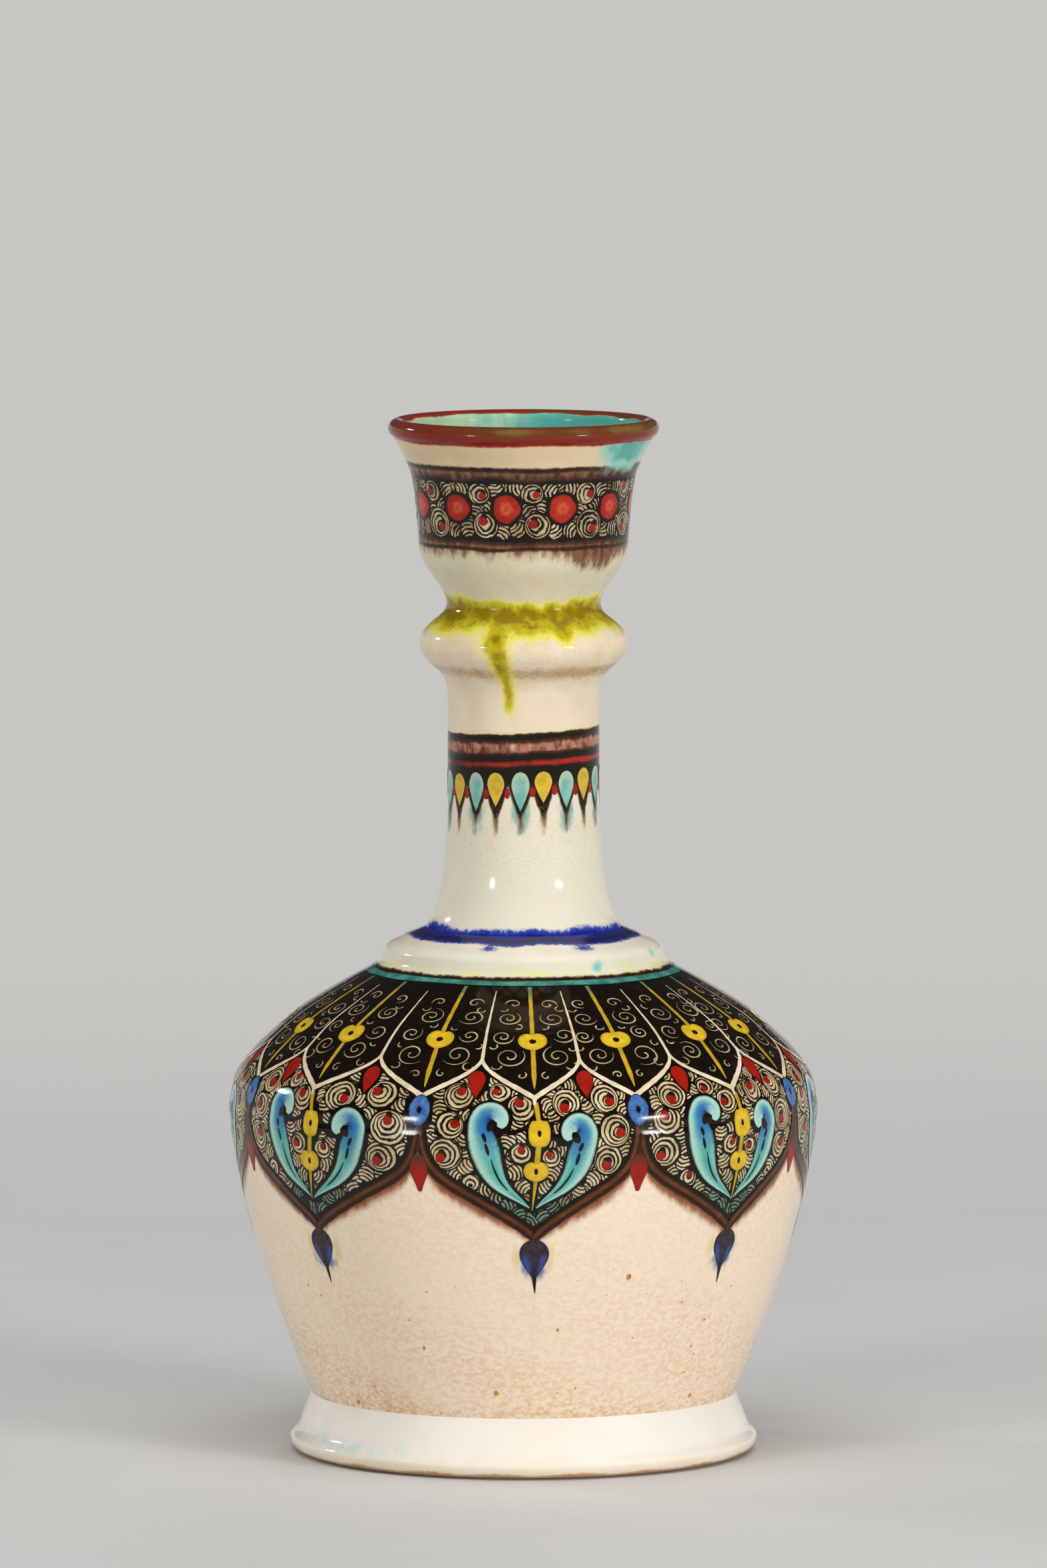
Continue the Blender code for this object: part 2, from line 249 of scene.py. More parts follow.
@dataclass(frozen=True)
class Vessel:
    """The sizes that all sections share: seam heights and greatest radii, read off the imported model, and others."""

    foot_seam: float
    girth_seam: float
    collar_seam: float
    neck_seam: float
    knop_seam: float
    cup_seam: float
    rim: float
    foot: float
    girth: float
    collar_foot: float
    neck_root: float
    knop: float
    lip: float
    waist: float = 61.6
    collar: float = 40.8
    neck: float = 22.0
    groove: float = 22.3
    cup: float = 30.7
    wall: float = 5.6
    neck_wall: float = 4.4
    opening_wall: float = 7.0
    foot_wall: float = 8.0
    lip_roll: float = 2.7
    foot_edge: float = 4.0
    foot_inset: float = 3.6
    fullness: float = 1.52
    socket: float = 3.0
    film: float = 0.3

    @classmethod
    def from_frame(cls) -> Vessel:
        """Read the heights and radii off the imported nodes. The shoulder is as wide as the belly.

        Returns:
            The sizes.
        """
        tops = {node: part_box(node)[1] / MM for node in NODES}
        radii = [top.x for node, top in tops.items() if node != "shoulder_dome"]
        return cls(*[top.z for top in tops.values()], *radii)

    def lines(self) -> list[Meridian]:
        """The outside's four lines: lip to neck's root, collar, shoulder and belly, and foot.

        The lip is a part of a circle, the belly eases off towards the girth by a power, and all else is
        a smooth line through knots.

        Returns:
            The lines.
        """
        angles = np.radians(np.arange(180.0, -61.0, -15.0))
        roll = self.lip_roll * (together(np.cos(angles), np.sin(angles)) - 1.0)
        upper = (roll + [self.lip, self.rim]).tolist()
        knots = [(0.775, 0.41), (0.68, 0.19), (0.53, 0.05), (0.37, -0.03)]
        upper += between(self.cup, self.lip, self.cup_seam, self.rim, knots)
        knots = [(0.285, 0.93), (0.215, 0.79), (0.145, 0.5), (0.075, 0.2), (0.0, 0.0)]
        upper += between(self.groove, self.cup, self.cup_seam, self.rim, knots)
        knots = [(0.88, 0.12), (0.76, 0.55), (0.64, 0.9), (0.52, 1.0), (0.4, 0.92), (0.28, 0.64), (0.15, 0.22)]
        upper += between(self.groove, self.knop, self.knop_seam, self.cup_seam, knots + [(0.0, 0.0)])
        knots = [(0.84, 0.0), (0.68, 0.0), (0.52, 0.0), (0.36, 0.1), (0.225, 0.22), (0.135, 0.4), (0.055, 0.67)]
        upper += between(self.neck, self.neck_root, self.neck_seam, self.knop_seam, knots + [(0.0, 1.0)])
        knots = [(1.0, 0.0), (0.87, 0.28), (0.74, 0.58), (0.62, 0.83), (0.48, 0.96), (0.32, 1.0)]
        collar = between(self.neck_root, self.collar, self.collar_seam, self.neck_seam, knots)
        knots = [(0.15, 0.25), (0.0, 1.0)]
        collar += between(self.collar, self.collar_foot, self.collar_seam, self.neck_seam, knots)
        knots = [(1.0, 0.0), (0.918, 0.146), (0.804, 0.336), (0.675, 0.532), (0.526, 0.699), (0.372, 0.847)]
        knots += [(0.2, 0.962), (0.0, 1.0)]
        dome = between(self.collar_foot, self.girth, self.girth_seam, self.collar_seam, knots)
        up = np.linspace(1.0, 0.0, 300)[1:]
        swell = part_way((self.waist, self.girth), 1.0 - (1.0 - up) ** self.fullness)
        body = np.vstack([flowing(dome, 0.25), together(swell, part_way((self.foot_seam, self.girth_seam), up))])
        knots = [(1.0, 0.0), (0.72, 0.22), (0.44, 0.46), (0.2, 0.66), (0.08, 0.9), (0.0, 1.0)]
        foot = between(self.waist, self.foot, self.foot_edge, self.foot_seam, knots)
        knots = [(0.5, 0.15), (0.16, 0.5), (0.0, 1.0)]
        foot += between(self.foot, self.foot - self.foot_inset, 0.0, self.foot_edge, knots)
        return [Meridian(points) for points in (flowing(upper, 0.25), flowing(collar, 0.25), body, flowing(foot, 0.2))]

    def seam_ends(self, radius: float, wall: float, seam: float) -> tuple[list, list]:
        """The two ends that meet at a seam.

        Args:
            radius: The outer radius at the seam.
            wall: The wall's thickness there.
            seam: The seam's height.

        Returns:
            The lower section's socket from its inner edge out, and the upper one's spigot from its outer edge in.
        """
        middle, base, bore = radius - wall / 2, seam - self.socket, radius - wall
        slim, lifted, end = middle - self.film, seam + self.film, base + self.film
        spigot = [(radius - 0.5, lifted), (slim, lifted), (slim, end), (bore, end)]
        return [(bore, base), (middle, base), (middle, seam)], spigot


class Bench:
    """A shader node tree, with short ways to add and wire nodes."""

    def __init__(self, tree: NodeTree) -> None:
        """Keep the tree to work in."""
        self.tree = tree

    @classmethod
    def finish(cls, name: str) -> tuple[Material, Bench, Node]:
        """Start a material.

        Args:
            name: Its name.

        Returns:
            The material, its bench and its shader.
        """
        made = bpy.data.materials.new(name)
        made.use_nodes = True
        return made, cls(made.node_tree), made.node_tree.nodes["Principled BSDF"]

    @classmethod
    def group(cls, name: str, inputs: dict, outputs: dict) -> tuple[Bench, dict, Node]:
        """Start a node group.

        Args:
            name: Its name.
            inputs: The kinds of its inputs, Color or Float, by label.
            outputs: The same of its outputs.

        Returns:
            The group's bench, its given sockets by label, and its output node.
        """
        tree = bpy.data.node_groups.new(name, "ShaderNodeTree")
        for way, labels in (("INPUT", inputs), ("OUTPUT", outputs)):
            for label, kind in labels.items():
                tree.interface.new_socket(label, in_out=way, socket_type=f"NodeSocket{kind}")
        bench = cls(tree)
        return bench, bench.add("NodeGroupInput").outputs, bench.add("NodeGroupOutput")

    def feed(self, node: Node, inputs: dict) -> Node:
        """Set or wire inputs of a node.

        Args:
            node: The node.
            inputs: Values, colours or output sockets, by the input's name or number.

        Returns:
            The node.
        """
        for key, value in inputs.items():
            if isinstance(value, Socket):
                self.tree.links.new(value, node.inputs[key])
            else:
                node.inputs[key].default_value = (*value, 1.0) if node.inputs[key].type == "RGBA" else value
        return node

    def add(self, kind: str, inputs: dict | None = None, **settings: object) -> Node:
        """Add a node.

        Args:
            kind: The node's type, without the leading ShaderNode.
            inputs: What to feed it.
            **settings: Values of the node's own properties.

        Returns:
            The new node.
        """
        node = self.tree.nodes.new(kind if kind.startswith("Node") else f"ShaderNode{kind}")
        for name, value in settings.items():
            setattr(node, name, value)
        return self.feed(node, inputs or {})

    def noise(self, vector: Socket, scale: object, detail: float = 3.0) -> Socket:
        """The value of a noise texture."""
        return self.add("TexNoise", {"Vector": vector, "Scale": scale, "Detail": detail}).outputs["Fac"]

    def ramp(self, value: object, low: float, high: float) -> Socket:
        """A smooth step from 0 at low to 1 at high."""
        inputs = {"Value": value, "From Min": low, "From Max": high}
        return self.add("MapRange", inputs, interpolation_type="SMOOTHSTEP").outputs["Result"]

    def math(self, operation: str, first: object, second: object = 0.0) -> Socket:
        """One step of arithmetic."""
        return self.add("Math", {0: first, 1: second}, operation=operation).outputs[0]

    def about(self, value: Socket, share: object) -> Socket:
        """A value's distance from its middle, 0.5, times a share."""
        return self.math("MULTIPLY", self.math("SUBTRACT", value, 0.5), share)

    def vector(self, operation: str, first: object, second: object = (0.0, 0.0, 0.0)) -> Socket:
        """One step of vector arithmetic, whose result may be a number."""
        node = self.add("VectorMath", {0: first, 1: second}, operation=operation)
        return node.outputs["Value" if operation in ("DOT_PRODUCT", "DISTANCE", "LENGTH") else "Vector"]

    def split(self, vector: Socket) -> dict:
        """The three parts of a vector, by the names X, Y and Z."""
        return self.add("SeparateXYZ", {0: vector}).outputs

    def mix(self, share: object, first: object, second: object) -> Socket:
        """One colour laid over another by a share."""
        return self.add("Mix", {0: share, 6: first, 7: second}, data_type="RGBA").outputs[2]

    def carried(self, name: str, part: str = "Fac") -> Socket:
        """A mask or vector that the mesh carries."""
        return self.add("Attribute", attribute_name=name).outputs[part]

    def place(self) -> Socket:
        """The place on the object, in metres."""
        return self.add("TexCoord").outputs["Object"]

    def skin(self, *sizes: float) -> dict:
        """The skin's sockets, by label, for a cloud scale, a flattening, a speck scale and a speck cut."""
        return self.add("Group", dict(enumerate(sizes)), node_tree=clay_skin()).outputs

    def gloss(self, colour: Socket, grain: Socket, roughness: float) -> dict:
        """What a glossy shader is fed: a colour, and a shine that varies a little with a grain."""
        shine = self.math("ADD", self.about(grain, 0.08), roughness)
        return {"Base Color": colour, "Roughness": shine, "IOR": GLASS_IOR}


@cache
def glaze_run() -> NodeTree:
    """A run of glaze over a ground: thin at its edge and thick inside, with streaks drawn downwards.

    Returns:
        The node group.
    """
    inputs = dict.fromkeys(("Ground", "Thin", "Thick"), "Color")
    inputs |= dict.fromkeys(("Depth", "Fray", "Scale", "Mottle"), "Float")
    bench, given, result = Bench.group("glaze_run", inputs, {"Colour": "Color"})
    calc, depth, place = bench.math, given["Depth"], bench.place()
    drawn = bench.vector("MULTIPLY", place, (1.0, 1.0, 0.4))
    sway = bench.about(bench.noise(drawn, given["Scale"], 4.0), given["Fray"])
    edge = calc("MULTIPLY", calc("MULTIPLY", depth, calc("SUBTRACT", 1.0, depth)), 8.0)
    frayed = calc("ADD", depth, calc("MULTIPLY", sway, edge))
    patchy = calc("ADD", bench.about(bench.noise(place, 260.0, 5.0), given["Mottle"]), 0.95)
    frayed = calc("MULTIPLY", frayed, patchy)
    wet = bench.mix(bench.ramp(frayed, 0.02, 0.5), given["Ground"], given["Thin"])
    bench.feed(result, {"Colour": bench.mix(bench.ramp(frayed, 0.45, 0.95), wet, given["Thick"])})
    return bench.tree


@cache
def clay_skin() -> NodeTree:
    """The glazed skin's own unevenness: cloudy mottling, iron specks, a grain, and a height for the bump.

    Returns:
        The node group.
    """
    inputs = dict.fromkeys(("Cloud Scale", "Flatten", "Speck Scale", "Speck Cut"), "Float")
    outputs = dict.fromkeys(("Cloud", "Speck", "Grain", "Height"), "Float")
    bench, given, result = Bench.group("clay_skin", inputs, outputs)
    place = bench.place()
    scale = bench.add("CombineXYZ", {0: 1.0, 1: 1.0, 2: given["Flatten"]}).outputs[0]
    cloud = bench.noise(bench.vector("MULTIPLY", place, scale), given["Cloud Scale"], 6.0)
    past = bench.math("SUBTRACT", bench.noise(place, given["Speck Scale"], 1.0), given["Speck Cut"])
    rings = bench.noise(bench.vector("MULTIPLY", place, (6.0, 6.0, 420.0)), 1.0, 2.0)
    ripple = bench.math("MULTIPLY", bench.noise(place, 220.0, 2.0), 0.3)
    found = {"Cloud": bench.ramp(cloud, 0.36, 0.66), "Speck": bench.ramp(past, 0.0, 0.08)}
    found["Grain"] = bench.noise(place, 1500.0, 2.0)
    found["Height"] = bench.math("ADD", bench.math("MULTIPLY", rings, 0.7), ripple)
    bench.feed(result, found)
    return bench.tree


@dataclass(frozen=True)
class Stain:
    """A glaze run or painted band that a section's mesh carries as a mask."""

    mask: str
    thick: Colour
    thin: Colour
    fray: float = 0.5  # how much streaky noise frays its edge
    scale: float = 500.0  # how fine that noise is
    mottle: float = 0.6  # how patchy the run is inside


@dataclass(frozen=True)
class Glaze:
    """The glossy coat of one section, with its runs and bands, first to last."""

    name: str
    colour: Colour
    cloud: Colour  # what its cloudy mottling turns to
    speck: Colour
    cloud_share: float
    speck_share: float
    stains: tuple[Stain, ...]
    cloud_scale: float = 60.0
    flatten: float = 1.0  # how far the mottling is drawn out sideways
    speck_scale: float = 700.0
    speck_cut: float = 0.7  # how rare the specks are
    roughness: float = 0.1
    relief: float = 0.03  # height of the throwing lines

    def material(self) -> Material:
        """Build the coat: mottled glaze, each stain frayed over it, then specks, all under one gloss.

        Returns:
            The material.
        """
        made, bench, shader = Bench.finish(self.name)
        skin = bench.skin(self.cloud_scale, self.flatten, self.speck_scale, self.speck_cut)
        tone = bench.carried("tone")
        share = bench.math("ADD", bench.math("MULTIPLY", tone, 0.8), self.cloud_share)
        colour = bench.mix(bench.math("MULTIPLY", skin["Cloud"], share), self.colour, self.cloud)
        for stain in self.stains:
            run = {"Ground": colour, "Thin": stain.thin, "Thick": stain.thick, "Depth": bench.carried(stain.mask)}
            run |= {"Fray": stain.fray, "Scale": stain.scale, "Mottle": stain.mottle}
            colour = bench.add("Group", run, node_tree=glaze_run()).outputs["Colour"]
        grains = bench.math("MULTIPLY", skin["Speck"], bench.math("MULTIPLY", tone, self.speck_share))
        colour = bench.mix(grains, colour, self.speck)
        bump = bench.add("Bump", {"Height": skin["Height"], "Distance": self.relief * MM})
        bench.feed(shader, bench.gloss(colour, skin["Grain"], self.roughness) | {"Normal": bump.outputs["Normal"]})
        return made


def grid_faces(rows: int, columns: int, wrap: bool = False) -> Array:
    """The quads of a grid of points, as rows of four point numbers.

    Args:
        rows: The grid's rows.
        columns: Its columns.
        wrap: Whether it closes both ways.

    Returns:
        The quads.
    """
    row, column = np.ogrid[: rows - 1 + wrap, : columns - 1 + wrap]
    here, below = row * columns, (row + 1) % rows * columns
    after = (column + 1) % columns
    return together(here + column, here + after, below + after, below + column).reshape(-1, 4)


def mesh_object(name: str, points: Array, quads: Array, material: Material) -> Piece:
    """Put points and quads into a new smooth object.

    Args:
        name: The object's name.
        points: Points, as rows of three.
        quads: Point numbers, as rows of four.
        material: The finish.

    Returns:
        The object, linked to the scene at the origin.
    """
    mesh = bpy.data.meshes.new(name)
    mesh.vertices.add(len(points))
    mesh.vertices.foreach_set("co", np.ascontiguousarray(points, np.float32).ravel())
    mesh.loops.add(quads.size)
    mesh.loops.foreach_set("vertex_index", quads.astype(np.int32).ravel())
    mesh.polygons.add(len(quads))
    mesh.polygons.foreach_set("loop_start", np.arange(0, quads.size, 4, dtype=np.int32))
    mesh.update(calc_edges=True)
    mesh.validate()
    mesh.shade_smooth()
    mesh.materials.append(material)
    made = bpy.data.objects.new(name, mesh)
    bpy.context.scene.collection.objects.link(made)
    return made


def corners(made: Piece) -> Array:
    """The point number at each corner of an object's quads.

    Args:
        made: The object.

    Returns:
        The numbers, as rows of four.
    """
    found = np.empty(len(made.data.loops), np.int32)
    made.data.loops.foreach_get("vertex_index", found)
    return found.reshape(-1, 4)


def carry(made: Piece, name: str, values: Array) -> None:
    """Store a value for each point of an object's mesh.

    Args:
        made: The object.
        name: The stored values' name.
        values: The values, or vectors where they are rows of three.
    """
    kind, part = ("FLOAT_VECTOR", "vector") if values.shape[-1] == 3 else ("FLOAT", "value")
    stored = made.data.attributes.new(name, kind, "POINT")
    stored.data.foreach_set(part, np.ascontiguousarray(values, np.float32).ravel())


def carry_bake_map(made: Piece, places: Array) -> None:
    """Store a UV map named OFBake, as one (u, v) row for each face corner."""
    layer = made.data.uv_layers.new(name="OFBake")
    layer.uv.foreach_set("vector", np.ascontiguousarray(places, np.float32).ravel())


def close_poles(made: Piece) -> None:
    """Merge the points that meet on the axis.

    Args:
        made: The object.
    """
    work = bmesh.new()
    work.from_mesh(made.data)
    bmesh.ops.remove_doubles(work, verts=work.verts, dist=1e-7)
    work.to_mesh(made.data)
    work.free()


@dataclass(frozen=True)
class Rings:
    """The points of a turned shell: turn angles as one row, and a column of values for its rings."""

    turn: Array
    radius: Array
    height: Array
    along: Array  # length along the meridian, and 0 off the outside
    outer: Array  # whether the ring is on the outside

    @property
    def degrees(self) -> Array:
        """The turn angles in degrees."""
        return np.degrees(self.turn)


@dataclass
class Section:
    """One thrown section of the vessel, as a closed turned shell."""

    node: str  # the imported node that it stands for
    line: Meridian
    ends: Pair  # where its outside starts and ends along the line
    rest: list  # the rest of its outline, from the outside's lower end round to its upper end
    glaze: Glaze  # the section's finish
    step: float  # distance between its rings
    everywhere: ClassVar[frozenset] = frozenset()  # masks that also show off the outside

    def masks(self, at: Rings) -> Masks:
        """The section's stain masks, by name."""
        return {}

    def build(self) -> Piece:
        """Turn the outline, store the masks and a UV map, and put the finish on.

        Returns:
            The section's object.
        """
        along = np.linspace(*self.ends, max(8, round((self.ends[1] - self.ends[0]) / self.step)))
        outline = np.vstack([self.line.profile(along), self.rest])
        radius, height, rows = outline[:, :1], outline[:, 1:], len(outline)
        turn = np.linspace(-math.pi, math.pi, TURN_COUNT, endpoint=False)[None, :]
        # No faces join two rings on the axis, where the outline goes from the floor's underside to its top.
        on_axis = radius[:, 0] < 1e-6
        quads = grid_faces(rows, TURN_COUNT, True).reshape(rows, TURN_COUNT, 4)
        quads = quads[~(on_axis & np.roll(on_axis, -1))].reshape(-1, 4)[:, ::-1]
        points = turned(radius, height, turn).reshape(-1, 3)
        made = mesh_object(f"{self.node}_glazed", points, quads, self.glaze.material())
        run = np.pad(along, (0, len(self.rest)))[:, None]
        outer = np.arange(rows)[:, None] < len(along)
        masks = {"tone": 0.0} | self.masks(Rings(turn, radius, height, run, outer))
        for name, mask in masks.items():
            shown = np.where(outer | (name in self.everywhere), mask, 0.0)
            carry(made, name, np.broadcast_to(shown, (rows, TURN_COUNT)))
        self.unroll(made, lengths(outline))
        if on_axis.any():
            close_poles(made)
        made.data.set_sharp_from_angle(angle=math.radians(35.0))
        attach(made, "root")
        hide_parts(self.node)
        return made

    def unroll(self, made: Piece, up: Array) -> None:
        """Unroll the shell into a UV map: turn angle across, length along the outline up.

        Args:
            made: The section's object.
            up: Length along the outline at each ring.
        """
        row, column = np.divmod(corners(made), TURN_COUNT)
        column = np.where((column == 0) & (column.max(1, keepdims=True) == TURN_COUNT - 1), TURN_COUNT, column)
        total = up[-1] + self.step
        closes = (row == 0) & (row.max(1, keepdims=True) == len(up) - 1)
        carry_bake_map(made, together(column / TURN_COUNT, np.where(closes, total, up[row]) / total))


def olive_top(turn: Array) -> Array:
    """Height of the olive run's upper edge, which lies in the groove over the knop and rises at the sides."""
    return 246.9 + wander(turn, 0.6, 22, 9) + 1.6 * np.abs(np.sin(turn))


def drip_masks(at: Rings) -> Masks:
    """The brown stain under the knop, and the run that crosses the knop and ends on the neck.

    The run is a soft streak, full at its head, that drifts as it falls: an olive core in a lime halo.

    Args:
        at: The shell's points.

    Returns:
        The masks, by name.
    """
    middle = np.interp(at.height, [222.5, 236.0], [-11.0, -15.8])
    strength = np.interp(at.height, [224.0, 239.0], [0.6, 0.85])
    spread = np.interp(at.height, [218.0, 228.0, 242.0], [0.8, 1.0, 1.7])
    olive, lime = (
        strength * hump(at.degrees, middle, wide * spread) * inside(at.height - end, 4.0)
        for wide, end in ((3.9, 217.2), (6.4, 215.6))
    )
    rust = 0.62 * hump(at.height, 228.0, 1.9) * (0.65 + 0.35 * hump(at.degrees, 52, 45))
    return {"olive": olive, "lime": lime, "rust": rust}


@dataclass
class MouthCup(Section):
    """The cup: red lip, turquoise inside, and a dark scroll band between brown runs."""

    lip_low: float = 294.5
    lip_in: float = 299.0
    band: Pair = (266.0, 284.6)
    lines: Pair = (264.4, 287.3)
    spill: float = 288.0
    everywhere: ClassVar[frozenset] = frozenset({"lip", "wear", "aqua", "green"})

    def masks(self, at: Rings) -> Masks:
        """Masks from heights: a stain is inside its two heights, which wander round the cup.

        Args:
            at: The shell's points.

        Returns:
            The masks.
        """
        turn, height, degrees = at.turn, at.height, at.degrees
        lip_low = inside(height - self.lip_low + wander(turn, 0.22, 9, 0), 0.9)
        lip_in = inside(height - self.lip_in + wander(turn, 0.15, 14, 1), 0.6)
        lip = np.where(at.along > 4.0, lip_low, lip_in)
        worn = 0.3 + 0.55 * hump(degrees, 55, 40) + 0.45 * hump(degrees, -6, 12) + 0.3 * hump(degrees, 160, 40)
        wear = worn * (1.0 + wander(turn, 0.2, 24, 2)) * hump(height, 298.7, 1.9)
        within = 1.0 * (at.along < 3.0)
        spill = 1.2 * hump(degrees, 57, 15) * inside(height - self.spill + wander(turn, 0.8, 30, 3), 6.0)
        top = self.band[1] + wander(turn, 0.3, 12, 4)
        low = self.band[0] + wander(turn, 0.25, 9, 5)
        upper = 0.9 * hump(height, self.lines[1] + wander(turn, 0.2, 10, 6), 0.6)
        lower = 0.8 * hump(height, self.lines[0] + wander(turn, 0.2, 10, 21), 0.55)
        reach = 2.8 + wander(turn, 0.5, 30, 7) + 4.5 * hump(degrees, 45, 20)
        bleed = 0.62 + 0.2 * hump(height, 284.9, 0.8) + wander(turn, 0.12, 90, 8)
        edge = olive_top(turn)
        return {
            "ink": np.maximum(belt(height, low, top, 2.2, 1.4), np.maximum(upper, lower)),
            "brown": belt(height, low - reach, 287.9, 6.0, 1.2) * bleed,
            "cool": 0.5 * inside(263.0 - height, 12.0),
            "tone": 0.55 * inside(262.0 - height, 4.0) + 0.3 * hump(height, 290.8, 1.6),
            "olive": inside(edge - height, 3.0),
            "lime": inside(edge + 0.9 - height, 3.0),
            "lip": lip,
            "wear": wear * lip,
            "aqua": np.minimum(np.maximum(within, spill), 1.0) * (1.0 - 0.999 * lip),
            "green": 0.75 * within * np.clip(0.25 - 1.1 * np.sin(turn), 0.0, 1.0) * (1.0 - lip),
        }


@dataclass
class NeckKnop(Section):
    """The bead: a yellow-green run from the groove above, and a brown stain under it."""

    run_low: float = 241.9

    def masks(self, at: Rings) -> Masks:
        """Masks from heights: the run's lower edge wanders and sends drips down.

        Args:
            at: The shell's points.

        Returns:
            The masks.
        """
        turn, height, top, found = at.turn, at.height, olive_top(at.turn), drip_masks(at)
        low = self.run_low + wander(turn, 1.0, 18, 10)
        low = low - 3.4 * hump(at.degrees, 25, 5.0) - 2.4 * hump(at.degrees, 140, 7.0)
        found["olive"] = np.maximum(found["olive"], belt(height, low, top, 5.0, 3.0))
        found["lime"] = np.maximum(found["lime"], belt(height, low - 2.3, top, 4.5, 3.0))
        return found | {"tone": 0.55 * inside(242.0 - height, 10.0)}


@dataclass
class NeckTube(Section):
    """The neck: a banded black, pink and red belt with bleeding drops, a drip from above and a blue root."""

    upper: Pair = (208.1, 210.3)
    pink: Pair = (203.6, 209.2)
    lower: Pair = (195.3, 204.8)
    red: Pair = (201.1, 202.5)
    fringe: float = 200.4
    root: float = 153.6

    def masks(self, at: Rings) -> Masks:
        """Masks from heights, tilted a little round the neck, as a hand draws a belt.

        Args:
            at: The shell's points.

        Returns:
            The masks.
        """
        turn, height, found = at.turn, at.height, drip_masks(at)
        level = height - 0.9 * np.sin(turn)
        shake = wander(turn, 0.16, 14, 11)
        drops = NeckDrops(self.line).angles()
        upper = belt(level, self.upper[0] - shake, self.upper[1] + shake, 2.0, 0.9)
        lower = belt(level, self.lower[0] - shake, self.lower[1] + shake, 2.4, 1.4)
        red = belt(level, self.red[0] + shake, self.red[1] + shake, 0.8, 0.8)
        below = inside(level - 183.6, 7.0) * inside(192.5 - level, 5.0)
        drop = drop_share(np.clip((self.fringe - level) / 15.0, 0.0, 1.0), 0.36, 1.2) * (level < self.fringe)
        outline = inside(3.3 * drop - at.radius * np.radians(nearest(turn, drops)), 1.1)
        outline = outline * inside(level - 186.0, 3.0) * (drop > 0.0)
        stripe = 0.64 + 0.22 * hump(level, self.pink[0], 1.6) + wander(turn, 0.1, 70, 12)
        return found | {
            "ink": np.maximum(np.maximum(upper, lower), outline),
            "pink": belt(level, *self.pink, 1.2, 1.2) * stripe,
            "red": red * (0.8 + wander(turn, 0.3, 12, 13)),
            "teal": hump(nearest(turn, drops[::2]), 0.0, 5.4) * below,
            "umber": hump(nearest(turn, drops), 0.0, 2.2) * below,
            "lime": np.maximum(found["lime"], 0.22 * hump(level - shake, 210.9, 0.7)),
            "blue": inside(self.root + wander(turn, 0.5, 12, 14) - height, 2.6),
            "cool": 0.45 * inside(190.0 - height, 40.0),
            "tone": 0.42 * inside(188.0 - height, 8.0) * inside(height - 166.0, 20.0),
        }


@dataclass
class NeckCollar(Section):
    """The collar: blue at the neck's root, cream over the step, black along its foot."""

    blue_low: float = 150.4
    fringe: float = 144.4
    black_top: float = 141.9

    def masks(self, at: Rings) -> Masks:
        """Masks from heights, with two smears of the blue and two drops of turquoise.

        Args:
            at: The shell's points.

        Returns:
            The masks.
        """
        turn, height, degrees = at.turn, at.height, at.degrees
        low = self.blue_low + wander(turn, 0.3, 12, 15)
        smear = (hump(degrees, -16, 3.5) + hump(degrees, 29, 4.5)) * hump(height, 149.6, 0.75)
        drops = hump(degrees, 31, 2.6) * hump(height, 144.6, 1.4) + hump(degrees, 66, 2.4) * hump(height, 146.0, 1.3)
        return {
            "blue": np.maximum(inside(height - low, 0.9), 0.6 * smear),
            "purple": 0.9 * hump(height, low + 0.9, 0.7),
            "ink": inside(self.black_top + wander(turn, 0.14, 40, 17) - height, 1.1),
            "lime": 0.22 * inside(self.fringe + wander(turn, 0.6, 18, 16) - height, 4.0),
            "aqua": 0.62 * np.minimum(drops, 1.0),
            "cool": 0.6 * inside(148.0 - height, 6.0),
        }


class ShoulderDome(Section):
    """The shoulder, whose dark ground the painted tongues and the top of the lappets lie on."""

    def masks(self, at: Rings) -> Masks:
        """The dark ground covers all of the outside."""
        return {"ink": 1.0}


class BellyBowl(Section):
    """The belly: the lappets' dark ground, brown runs under it, and warm mottling near the foot."""

    def masks(self, at: Rings) -> Masks:
        """Masks from the distance below the lappets' lower edge, which bleeds downwards.

        Args:
            at: The shell's points.

        Returns:
            The masks.
        """
        turn, height, run = at.turn, at.height, at.along
        share = lappet_share(turn)
        edge = lappet_edge(share)
        reach = 0.9 + 1.9 * np.clip(share * 2.0, 0.0, 1.0) + wander(turn, 0.6, 12, 18)
        away = share * math.radians(22.5) * 78.0
        patches = 1.0 + wander(turn + 0.03 * height, 0.35, 11, 22)
        warm = patches * (0.22 + 0.52 * inside(36.0 - height, 44.0)) + 0.5 * inside(19.5 - height, 5.0)
        return {
            "ink": inside(edge - 0.6 - run, 2.0),
            "brown": inside(edge + reach - run, 5.2) * (1.0 - 0.25 * inside(run - edge - 1.0, 4.0)),
            "lime": 0.55 * hump(away, 5.1, 1.1) * hump(run, 96.0, 4.6),
            "blue": 0.6 * hump(away, 0.0, 3.6) * hump(run, 100.0, 3.0),
            "tone": inside(run - edge - 2.0, 3.0) * warm,
        }


class FootRing(Section):
    """The foot: white glaze that pools green at one side, and a bare clay edge."""

    everywhere: ClassVar[frozenset] = frozenset({"bare"})

    def masks(self, at: Rings) -> Masks:
        """Masks from height: bare below the rolled edge, warm near it, and a green pool at the left.

        Args:
            at: The shell's points.

        Returns:
            The masks.
        """
        bare = np.where(at.outer, inside(1.2 + wander(at.turn, 0.25, 20, 19) - at.height, 1.2), 1.0)
        pool = 0.34 * hump(at.degrees, -58, 30) * hump(at.height, 6.4, 2.6)
        return {"bare": bare, "warm": 0.6 * inside(4.6 - at.height, 5.0), "aqua": pool}


